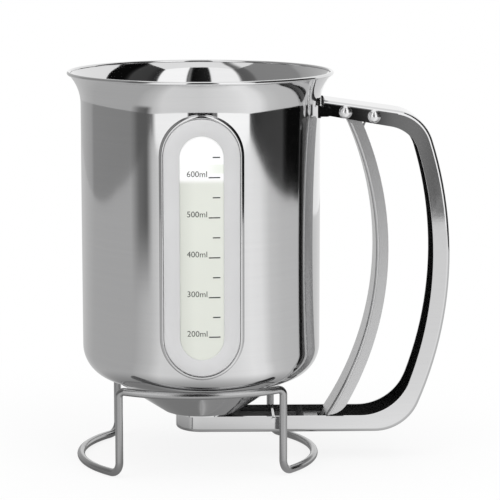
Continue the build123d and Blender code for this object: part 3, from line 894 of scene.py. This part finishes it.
@dataclass(frozen=True)
class Cup(SubAssembly):
    """The spun cup: rolled rim, flared mouth, straight wall, shoulder and cone.

    Attributes:
        height: top of the rim.
        radius: outside of the straight wall.
        wall: sheet thickness.
        rim_out: how far the rim stands outside the wall.
        bead: radius of the rolled edge.
        bead_gap: how far the roll stops short of closing, in degrees.
        flare: outside radius of the flared mouth.
        corner: outside radius between wall and shoulder.
        shoulder_run: radial run of the shoulder.
        shoulder_slope: its slope in degrees.
        cone_slope: slope of the funnel in degrees.
        floor_radius: where the funnel ends on the flat floor.
        floor_height: underside of that floor.
        hole: radius of the hole for the nozzle.
        window: outline of the window.
        cut_out: how much wider than the clear opening its cut-out is.
        steps: facets round the cup.
        curve_steps: stretches in the corner's and the roll's curves.
        flare_steps: stretches in the flare's curve.
        sharp: edges over this angle stay sharp, in degrees.
    """

    nodes: tuple[tuple[str, str], ...] = (("cup_body", "polished_steel"),)
    height: float = 153.7
    radius: float = 46.7
    wall: float = 0.8
    rim_out: float = 5.195
    bead: float = 0.75
    bead_gap: float = 32.0
    flare: float = 17.0
    corner: float = 13.1
    shoulder_run: float = 3.3
    shoulder_slope: float = 22.0
    cone_slope: float = 33.6
    floor_radius: float = 15.3
    floor_height: float = 19.3
    hole: float = 7.65
    window: Outline = Outline()
    cut_out: float = 2.7
    steps: int = 288
    curve_steps: int = 14
    flare_steps: int = 10
    sharp: float = 30.0

    @property
    def shoulder(self) -> tuple[Point, Point]:
        """The shoulder's outside, from the cone to the corner.

        Returns:
            Radius and height of both ends.
        """
        slope = math.radians(self.shoulder_slope)
        out_x = self.radius - self.corner + self.corner * math.sin(slope)
        in_x = out_x - self.shoulder_run
        in_z = self.floor_height + (in_x - self.floor_radius) * math.tan(
            math.radians(self.cone_slope))
        return (in_x, in_z), (out_x, in_z + self.shoulder_run * math.tan(slope))

    @property
    def corner_centre(self) -> Point:
        """Centre of the corner's curve.

        Returns:
            Its radius and height.
        """
        out_z = self.shoulder[1][1]
        return (self.radius - self.corner,
                out_z + self.corner * math.cos(math.radians(self.shoulder_slope)))

    def wall_radius(self, z: float) -> float:
        """Outside radius of wall or corner at a height.

        Args:
            z: the height.

        Returns:
            The radius.
        """
        centre_x, centre_z = self.corner_centre
        drop = max(0.0, centre_z - z)
        return centre_x + math.sqrt(max(0.0, self.corner ** 2 - drop ** 2))

    def profile(self) -> list[Point]:
        """Half section of the cup, from the hole up outside, over the rim and down inside.

        Returns:
            Radius and height of each point.
        """
        thick = self.wall
        centre = self.corner_centre
        cone_end, _ = self.shoulder
        corner_start = self.shoulder_slope - 90.0
        middle = self.flare + thick / 2
        bead = (self.radius + self.rim_out - self.bead, self.height - self.bead)
        flare_x = self.radius + self.flare
        lean = math.degrees(math.acos((flare_x - bead[0]) / middle))
        flare = (flare_x, bead[1] - middle * math.sin(math.radians(lean)))
        merge = math.degrees(math.asin(thick / 2 / self.bead))
        back = self.bead * math.cos(math.radians(merge))
        outer_end = lean - math.degrees(back / self.flare)
        inner_end = lean - math.degrees(back / (self.flare + thick))
        outside = [(self.hole, self.floor_height), (self.floor_radius, self.floor_height),
                   cone_end]
        outside += arc(centre, self.corner, corner_start, 0.0, self.curve_steps)
        outside += arc(flare, self.flare, 180.0, 180.0 - outer_end, self.flare_steps)
        rolled = arc(bead, self.bead, -lean - 90.0 + merge + self.bead_gap,
                     270.0 - lean - merge, self.curve_steps)
        inside = arc(flare, self.flare + thick, 180.0 - inner_end, 180.0, self.flare_steps)
        inside += arc(centre, self.corner - thick, 0.0, corner_start, self.curve_steps)
        return outside + rolled + inside + self._inner_funnel(cone_end)

    def _inner_funnel(self, cone_end: Point) -> list[Point]:
        """The funnel's inside, parallel to its outside.

        Args:
            cone_end: radius and height of the cone's outer end.

        Returns:
            Radius and height of each point, down to the hole.
        """
        thick = self.wall
        cone = math.radians(self.cone_slope)
        shoulder = math.radians(self.shoulder_slope)
        kink = math.tan((cone - shoulder) / 2)
        along_x, along_z = math.cos(shoulder), math.sin(shoulder)
        top = self.floor_height + thick
        return [(cone_end[0] - thick * along_z - thick * kink * along_x,
                 cone_end[1] + thick * along_x - thick * kink * along_z),
                (self.floor_radius - thick * math.tan(cone / 2), top),
                (self.hole, top)]

    def build(self, materials: Materials) -> list[Object]:
        """Turn the section round the axis and cut the window out.

        Args:
            materials: the finishes by name.

        Returns:
            The cup.
        """
        turns = [2 * math.pi * (step + 0.5) / self.steps for step in range(self.steps)]
        loops = [[place(radius * math.cos(turn), radius * math.sin(turn), z) for turn in turns]
                 for radius, z in self.profile()]
        steel = materials["polished_steel"]
        piece = make_piece("cup_shell", skin("cup_shell", loops), steel, "dispenser")
        cut(piece, self.window.prism(
            self.cut_out, self.radius - self.corner, self.radius + self.rim_out))
        dress(piece.data, steel)
        smooth(piece.data, self.sharp)
        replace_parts(piece, "cup_body")
        return [piece]


@dataclass(frozen=True)
class WindowRing:
    """A ring round the window with a rounded section.

    Attributes:
        name: the piece's name.
        node: the CAD node that it stands for.
        slot: the record's material slot.
        section: land and radius of each point of the section that stands clear of the wall.
        foot: lands of the section's two points on the wall.
        seat: gap between the foot and the wall.
        sharp: edges over this angle stay sharp, in degrees.
    """

    name: str
    node: str
    slot: str
    section: tuple[Point, ...]
    foot: Point
    seat: float = 0.03
    sharp: float = 50.0

    def build(self, materials: Materials, cup: Cup) -> Object:
        """Draw the section round the window.

        Args:
            materials: the finishes by name.
            cup: the cup whose wall the foot follows.

        Returns:
            The ring.
        """
        near, far = self.foot
        loops = [self._on_wall(near, cup)]
        for land, radius in self.section:
            loops.append([self._at(x, z, radius) for x, z in cup.window.points(land)])
        loops.append(self._on_wall(far, cup))
        mesh = skin(self.name, loops)
        smooth(mesh, self.sharp)
        piece = make_piece(self.name, mesh, materials[self.slot], "dispenser")
        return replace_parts(piece, self.node)

    def _on_wall(self, land: float, cup: Cup) -> list[Vector]:
        """The window's outline, wider by a land all round, on the cup's wall."""
        return [self._at(x, z, cup.wall_radius(z) + self.seat)
                for x, z in cup.window.points(land)]

    @staticmethod
    def _at(x: float, z: float, radius: float) -> Vector:
        """A point of a cylinder round the cup's axis, on the window's side."""
        return place(x, -math.sqrt(radius ** 2 - x ** 2), z)


@dataclass(frozen=True)
class Scale:
    """The printed measuring scale on the pane.

    Attributes:
        face: radius of the pane's face.
        ink: thickness of the print.
        line: height of a mark.
        line_steps: stretches in a mark, round the wall.
        long_start: where the long marks start, round the wall.
        short_start: where the short marks start.
        end: where all marks end.
        lowest: height of the lowest long mark.
        spacing: distance between the long marks.
        volumes: what the long marks say, in millilitres.
        half_volume: what a short mark adds, in millilitres.
        text_height: height of the figures.
        text_middle: middle of the figures, round the wall.
        text_lift: how far the figures stand above their mark's line.
        text_weight: how much their strokes are thickened.
        text_steps: stretches in their curves.
    """

    face: float = 47.75
    ink: float = 0.02
    line: float = 0.44
    line_steps: int = 6
    long_start: float = 2.57
    short_start: float = 4.1
    end: float = 6.89
    lowest: float = 57.4
    spacing: float = 15.1
    volumes: tuple[int, ...] = (200, 300, 400, 500, 600)
    half_volume: int = 50
    text_height: float = 3.15
    text_middle: float = -1.75
    text_lift: float = 0.25
    text_weight: float = -0.002
    text_steps: int = 4

    def build(self, materials: Materials) -> list[Object]:
        """Print marks and figures.

        Args:
            materials: the finishes by name.

        Returns:
            The pieces.
        """
        pieces = []
        for index, volume in enumerate(self.volumes):
            z = self.lowest + self.spacing * index
            meshes = (
                (f"mark_{volume}", self._mark(self.long_start, z)),
                (f"mark_{volume + self.half_volume}",
                 self._mark(self.short_start, z + self.spacing / 2)),
                (f"figure_{volume}", self._figure(volume, z)),
            )
            for name, mesh in meshes:
                pieces.append(make_piece(name, mesh, materials["scale_ink"], "dispenser"))
        return pieces

    def _bend(self, across: float, z: float, lift: float) -> Vector:
        """Lay a point of the flat artwork on the pane.

        Args:
            across: distance from the middle, round the wall.
            z: the height.
            lift: distance over the pane's face.

        Returns:
            The point in the frame.
        """
        turn = across / self.face
        radius = self.face + lift
        return place(radius * math.sin(turn), -radius * math.cos(turn), z)

    def _mark(self, start: float, z: float) -> Mesh:
        """One mark of the scale.

        Args:
            start: where it starts, round the wall.
            z: height of its middle.

        Returns:
            The mesh.
        """
        low, high = z - self.line / 2, z + self.line / 2
        corners = ((low, 0.0), (low, self.ink), (high, self.ink), (high, 0.0))
        loops = []
        for step in range(self.line_steps + 1):
            across = start + (self.end - start) * step / self.line_steps
            loops.append([self._bend(across, height, lift) for height, lift in corners])
        return skin("mark", loops, ring=False)

    def _figure(self, volume: int, z: float) -> Mesh:
        """The figures beside a long mark.

        Args:
            volume: what they say, in millilitres.
            z: height of the mark.

        Returns:
            The mesh.
        """
        text = bpy.data.curves.new("figure", "FONT")
        text.body = f"{volume}ml"
        text.size = self.text_height
        text.align_x = "CENTER"
        text.offset = self.text_weight
        text.extrude = self.ink / 2
        text.resolution_u = self.text_steps
        flat = put_in_scene("figure", text)
        graph = bpy.context.evaluated_depsgraph_get()
        mesh = bpy.data.meshes.new_from_object(flat.evaluated_get(graph))
        bpy.data.objects.remove(flat)
        for vertex in mesh.vertices:
            across, up, lift = vertex.co
            vertex.co = self._bend(self.text_middle + across, z + self.text_lift + up,
                                   lift + self.ink / 2)
        return mesh


@dataclass(frozen=True)
class Window(SubAssembly):
    """The measuring window: gasket, pane, bezel, trim and scale.

    Attributes:
        cup: the cup that carries the window.
        bezel: the matt grey ring.
        trim: the polished ring round it.
        scale: the print on the pane.
    """

    nodes: tuple[tuple[str, str], ...] = (
        ("window_gasket", "silicone"), ("window_pane", "clear_pane"),
        ("window_band", "grey_plastic"), ("window_trim", "polished_steel"))
    cup: Cup = Cup()
    bezel: WindowRing = WindowRing(
        "window_bezel", "window_band", "grey_plastic",
        section=((4.9, 47.8), (0.0, 47.8), (0.0, 47.92), (0.05, 48.02), (0.18, 48.1),
                 (6.0, 48.1), (6.18, 48.02), (6.25, 47.85)),
        foot=(4.9, 6.25))
    trim: WindowRing = WindowRing(
        "window_rim", "window_trim", "polished_steel",
        section=((6.36, 47.35), (6.42, 47.56), (6.58, 47.7), (6.85, 47.74), (7.12, 47.68),
                 (7.42, 47.5), (7.7, 47.24), (7.88, 47.0)),
        foot=(6.36, 7.98))
    scale: Scale = Scale()

    def build(self, materials: Materials) -> list[Object]:
        """Make bezel, trim and scale."""
        rings = [ring.build(materials, self.cup) for ring in (self.bezel, self.trim)]
        return rings + self.scale.build(materials)


@dataclass(frozen=True)
class Spring:
    """The torsion spring: a coil round the pin, with its front leg ending at the trigger.

    Attributes:
        pin: X and Z of the coil's axis.
        toe: X and Z of the front leg's end.
        held: X and Z from the toe to where the leg was meant to follow the trigger fully; not used.
        coil: radius of the coil's centre line.
        wire: radius of the wire.
        turns: whole turns of the coil.
        pitch: sideways advance of a turn.
        slope: how steeply the back leg falls, in degrees.
        back_leg: its length.
        leg_steps: stretches in the front leg.
        turn_steps: stretches in a turn.
        sides: facets round the wire.
        sharp: edges over this angle stay sharp, in degrees.
    """

    pin: Point = (67.0, 136.6)
    toe: Point = (61.68, 127.2)
    held: Point = (0.6, 1.0)
    coil: float = 1.55
    wire: float = 0.4
    turns: float = 3.0
    pitch: float = 0.9
    slope: float = 7.0
    back_leg: float = 7.0
    leg_steps: int = 16
    turn_steps: int = 36
    sides: int = 14
    sharp: float = 40.0

    def path(self) -> list[Vector]:
        """The wire's centre line, from the toe to the end of the back leg.

        Returns:
            The points in the frame.
        """
        x, z = self.pin
        toe_x, toe_z = self.toe
        reach = math.hypot(toe_x - x, toe_z - z)
        aim = math.atan2(toe_z - z, toe_x - x)
        low = aim + math.asin(self.coil / reach) + 1.5 * math.pi
        slope = math.radians(self.slope)
        high = math.pi / 2 - slope
        turns = self.turns + (low - high) / (2 * math.pi)
        side = -self.turns * self.pitch / 2
        start_x, start_z = x + self.coil * math.cos(low), z + self.coil * math.sin(low)
        points = []
        for step in range(self.leg_steps):
            share = step / self.leg_steps
            points.append(place(toe_x + (start_x - toe_x) * share, side,
                                toe_z + (start_z - toe_z) * share))
        count = round(turns * self.turn_steps)
        for step in range(count + 1):
            turn = low - 2 * math.pi * turns * step / count
            points.append(place(x + self.coil * math.cos(turn),
                                side + turns * self.pitch * step / count,
                                z + self.coil * math.sin(turn)))
        tail = Vector((math.cos(slope), 0.0, -math.sin(slope))) * self.back_leg * MM
        return points + [points[-1] + tail / 2, points[-1] + tail]

    def build(self, materials: Materials) -> Object:
        """Make the spring.

        Args:
            materials: the finishes by name.

        Returns:
            The spring.
        """
        mesh = tube("spring_wire", self.path(), self.wire * MM, self.sides)
        smooth(mesh, self.sharp)
        piece = make_piece("spring_wire", mesh, materials["spring_steel"], "")
        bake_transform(piece)
        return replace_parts(piece, "torsion_spring")


@dataclass(frozen=True)
class Trigger(SubAssembly):
    """The trigger with its bush, the two rivets and the spring.

    Attributes:
        spring: the torsion spring.
    """

    nodes: tuple[tuple[str, str], ...] = (
        ("trigger_lever", "brushed_trigger"), ("pivot_bush", "white_plastic"),
        ("trigger_pivot_pin", "rivet_steel"), ("spring_pin", "rivet_steel"),
        ("rivet_caps", "rivet_steel"), ("spring_sleeves", "white_plastic"),
        ("torsion_spring", "spring_steel"))
    spring: Spring = Spring()

    def build(self, materials: Materials) -> list[Object]:
        """Make the spring."""
        return [self.spring.build(materials)]


# ------------------------------------------------------------------ studio
@dataclass(frozen=True)
class Surround:
    """What the metal mirrors: a ring of glowing panels round the table and a glowing table top,
    which only reflections see; their brightness by direction is painted reflection and lights
    nothing.

    Attributes:
        edges: corners of the table's edge, where the panels stand.
        height: of the panels.
        panels: direction from the cup in degrees, from the window towards the handle, and the
            brightness in that direction; the pairs make steps and slopes.
        table: the same for the table top.
        table_drop: how far the table top lies under the floor.
        panel_drop: how far under the floor the panels start.
        flag: corners of a dark flag that stands on the table.
        flag_opacity: direction and opacity pairs of the flag.
        flag_foot: height over which it fades out towards the table.
        flag_level: its brightness.
        near: distances from the cup's axis between which the table top brightens.
        near_levels: factors for its brightness at both.
    """

    edges: tuple[Point, ...] = (
        (-200.0, 1100.0), (-450.0, 900.0), (-600.0, 420.0), (-715.0, -60.0), (-730.0, -665.0),
        (690.0, -665.0), (690.0, 60.0), (640.0, 270.0))
    height: float = 1500.0
    panels: tuple[Point, ...] = (
        (-170.0, 0.62), (-156.0, 0.55), (-126.0, 0.42), (-121.0, 0.31), (-64.0, 0.29),
        (-60.0, 0.17), (-46.0, 0.19), (-42.5, 1.2), (-12.5, 1.2), (-11.5, 0.02), (8.8, 0.004),
        (9.8, 0.02), (10.7, 0.15), (12.0, 0.3), (13.2, 0.2), (14.2, 0.09), (14.9, 0.08),
        (15.4, 1.3), (45.5, 1.3), (46.5, 0.07), (52.0, 0.03), (60.0, 0.055), (81.0, 0.065),
        (83.5, 0.02), (88.0, 0.004), (113.0, 0.004))
    table: tuple[Point, ...] = (
        (-150.0, 0.6), (-120.0, 0.5), (-62.0, 0.5), (-46.0, 0.66), (-36.0, 0.86), (0.0, 0.82),
        (30.0, 0.95), (45.0, 1.05), (56.0, 1.0), (66.0, 0.74), (80.0, 0.66), (110.0, 0.62),
        (150.0, 0.75))
    table_drop: float = 1.0
    panel_drop: float = 2.0
    flag: tuple[Point, ...] = (
        (-225.0, -241.0), (-253.0, -212.0), (-277.0, -180.0), (-301.0, -134.0))
    flag_opacity: tuple[Point, ...] = (
        (-66.0, 0.0), (-57.0, 0.85), (-49.5, 1.0), (-44.0, 0.0))
    flag_foot: float = 50.0
    flag_level: float = 0.13
    near: Point = (35.0, 90.0)
    near_levels: Point = (0.45, 1.0)

    def build(self) -> None:
        """Make the panels, the flag and the table top."""
        self._show("surround", self._wall("surround", self.edges), self.panels)
        flag = self._show("flag", self._wall("flag", self.flag), ((0.0, self.flag_level),))
        self._fade(flag)
        corners = [place(x, y, -self.table_drop) for x, y in self.edges]
        top = plain_mesh("table_top", corners, [tuple(range(len(corners)))])
        self._darken(self._show("table_top", top, self.table))

    def _wall(self, name: str, corners: tuple[Point, ...]) -> Mesh:
        """Panels that stand on a line of corners.

        Args:
            name: the mesh's name.
            corners: X and Y of each corner.

        Returns:
            The mesh.
        """
        levels = (-self.panel_drop, self.height)
        points = [place(x, y, z) for z in levels for x, y in corners]
        count = len(corners)
        return plain_mesh(name, points, [
            (index, index + 1, count + index + 1, count + index) for index in range(count - 1)])

    def _fade(self, material: Material) -> None:
        """Let the flag's edges fade out.

        Args:
            material: the flag's material.
        """
        shader = Shader(material.node_tree)
        _, _, z = shader.from_cup_axis()
        opacity = shader.math("MULTIPLY", self._by_direction(shader, self.flag_opacity, 1.0),
                              shader.ramp_mm(z, 0.0, self.flag_foot))
        clear = shader.add("ShaderNodeBsdfTransparent")
        mix = shader.add("ShaderNodeMixShader", {
            0: opacity, 1: clear.outputs[0], 2: shader.tree.nodes["glow"].outputs[0]})
        shader.show(mix.outputs[0])

    def _darken(self, material: Material) -> None:
        """Dim the table top close to the cup, where the cup shades it.

        Args:
            material: the table top's material.
        """
        shader = Shader(material.node_tree)
        strength = shader.tree.nodes["glow"].inputs["Strength"]
        share = shader.ramp_mm(shader.off_cup_axis(), *self.near, self.near_levels)
        shader.feed(strength, shader.math("MULTIPLY", share, strength.default_value))

    @staticmethod
    def _by_direction(shader: Shader, levels: tuple[Point, ...], peak: float) -> Socket:
        """A brightness that changes with the direction from the cup.

        Args:
            shader: the material's shader helper.
            levels: direction in degrees and brightness pairs.
            peak: the brightness that counts as 1.

        Returns:
            The colour's socket.
        """
        x, y, _ = shader.from_cup_axis()
        turn = shader.math("ARCTAN2", x, shader.math("MULTIPLY", y, -1.0))
        share = shader.math("MULTIPLY_ADD", turn, 0.5 / math.pi, 0.5)
        colours = shader.add("ShaderNodeValToRGB", {0: share})
        elements = colours.color_ramp.elements
        while len(elements) > 1:
            elements.remove(elements[-1])
        for index, (direction, level) in enumerate(levels):
            position = (direction + 180.0) / 360.0
            element = elements[0] if index == 0 else elements.new(position)
            element.position = position
            element.color = grey(level / peak)
        return colours.outputs[0]

    def _show(self, name: str, mesh: Mesh, levels: tuple[Point, ...]) -> Material:
        """Add a surface that only reflections see.

        Args:
            name: the object's name.
            mesh: its mesh.
            levels: direction and brightness pairs.

        Returns:
            The surface's material.
        """
        material, shader, surface = new_material(name)
        shader.tree.nodes.remove(surface)
        peak = max(level for _, level in levels)
        # Painted reflection: the surface glows with a brightness set by the direction from the cup.
        glow = shader.add("ShaderNodeEmission", {
            "Color": self._by_direction(shader, levels, peak), "Strength": peak}, name="glow")
        shader.show(glow.outputs[0])
        dress(mesh, material)
        card = put_in_scene(name, mesh)
        card.visible_camera = False
        card.visible_shadow = False
        card.visible_diffuse = False
        card.visible_transmission = False
        return material


@dataclass(frozen=True)
class Studio:
    """Camera, floor, background and lamps.

    Attributes:
        camera: the lens's place.
        aim: the direction that the camera looks in.
        lens: focal length.
        sensor: width of the film, in millimetres as the focal length.
        far: how far the camera sees, in metres.
        diffuse_level: brightness of the background for diffuse light.
        floor_half: half the floor's width, in metres.
        floor_grey: grey level of the floor.
        floor_roughness: its roughness.
        paper: distances from the cup's axis between which the floor turns plain white.
        shade: how much of the floor near the object is lit paper instead of plain white.
        lamps: name, place, size in metres and power in watts.
        lamp_aim: what the lamps point at.
    """

    camera: Place = (-6.15, -910.1, 231.2)
    aim: Place = (0.02756, 0.98658, -0.16091)
    lens: float = 168.6
    sensor: float = 36.0
    far: float = 20.0
    diffuse_level: float = 0.45
    floor_half: float = 3.0
    floor_grey: float = 0.8
    floor_roughness: float = 0.9
    paper: Point = (60.0, 200.0)
    shade: float = 0.14
    lamps: tuple[tuple[str, Place, float, float], ...] = (
        ("lamp_top", (0.0, -100.0, 1500.0), 1.6, 14.0),
        ("lamp_left", (-1100.0, -700.0, 900.0), 1.2, 9.0),
        ("lamp_right", (900.0, -1000.0, 900.0), 1.2, 9.0),
    )
    lamp_aim: Place = (10.0, 0.0, 80.0)

    def build(self) -> None:
        """Set up everything that isn't part of the object."""
        bpy.context.scene.view_settings.view_transform = "Standard"
        self._camera()
        self._world()
        self._floor()
        self._lamps()
        Surround().build()

    def _camera(self) -> None:
        """Make the camera."""
        data = bpy.data.cameras.new("view")
        data.lens = self.lens
        data.sensor_width = self.sensor
        data.clip_end = self.far
        camera = put_in_scene("view", data)
        camera.location = place(*self.camera)
        camera.rotation_euler = Vector(self.aim).to_track_quat("-Z", "Y").to_euler()
        bpy.context.scene.camera = camera

    def _world(self) -> None:
        """White for the camera, reflections and glass, and a plain level for diffuse light."""
        world = bpy.data.worlds.new("studio")
        world.use_nodes = True
        shader = Shader(world.node_tree)
        background = world.node_tree.nodes["Background"]
        path = shader.add("ShaderNodeLightPath")
        seen = shader.math("MAXIMUM", path.outputs["Is Camera Ray"], path.outputs["Is Glossy Ray"])
        seen = shader.math("MAXIMUM", seen, path.outputs["Is Transmission Ray"])
        strength = shader.ramp(seen, 0.0, 1.0, (self.diffuse_level, 1.0))
        background.inputs["Color"].default_value = grey(1.0)
        shader.feed(background.inputs["Strength"], strength)
        bpy.context.scene.world = world

    def _floor(self) -> None:
        """A floor that reads as white and keeps a soft shadow near the object."""
        half = self.floor_half
        corners = [Vector((x, y, 0.0))
                   for x, y in ((-half, -half), (half, -half), (half, half), (-half, half))]
        mesh = plain_mesh("floor", corners, [(0, 1, 2, 3)])
        material, shader, surface = new_material("floor")
        surface.inputs["Base Color"].default_value = grey(self.floor_grey)
        surface.inputs["Roughness"].default_value = self.floor_roughness
        surface.inputs["Specular IOR Level"].default_value = 0.0
        path = shader.add("ShaderNodeLightPath")
        plain = shader.ramp_mm(shader.off_cup_axis(), *self.paper, (1.0 - self.shade, 1.0))
        white = shader.math("MULTIPLY", plain, path.outputs["Is Camera Ray"])
        glow = shader.add("ShaderNodeEmission", {"Color": grey(1.0), "Strength": 1.0})
        mix = shader.add("ShaderNodeMixShader", {
            0: white, 1: surface.outputs[0], 2: glow.outputs[0]})
        shader.show(mix.outputs[0])
        dress(mesh, material)
        floor = put_in_scene("floor", mesh)
        floor.visible_glossy = False

    def _lamps(self) -> None:
        """Large soft lamps from above and both sides."""
        for name, where, size, power in self.lamps:
            data = bpy.data.lights.new(name, "AREA")
            data.size = size
            data.energy = power
            lamp = put_in_scene(name, data)
            lamp.location = place(*where)
            aim = place(*self.lamp_aim) - lamp.location
            lamp.rotation_euler = aim.to_track_quat("-Z", "Y").to_euler()
            lamp.visible_glossy = False


def main() -> None:
    """Build the studio and each sub-assembly in order."""
    logging.basicConfig(level=logging.INFO, format="%(message)s")
    Studio().build()
    materials = Finishes().build()
    cup = Cup()
    parts = (Stand(), Outlet(), Handle(), cup, Window(cup=cup), Trigger())
    for part in parts:
        part.dress_nodes(materials)
        part.build(materials)
    dressed = {name for part in parts for name, _ in part.nodes}
    for name in sorted(set(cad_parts) - dressed):
        LOG.warning("node %s has no finish", name)


if __name__ == "__main__":
    main()
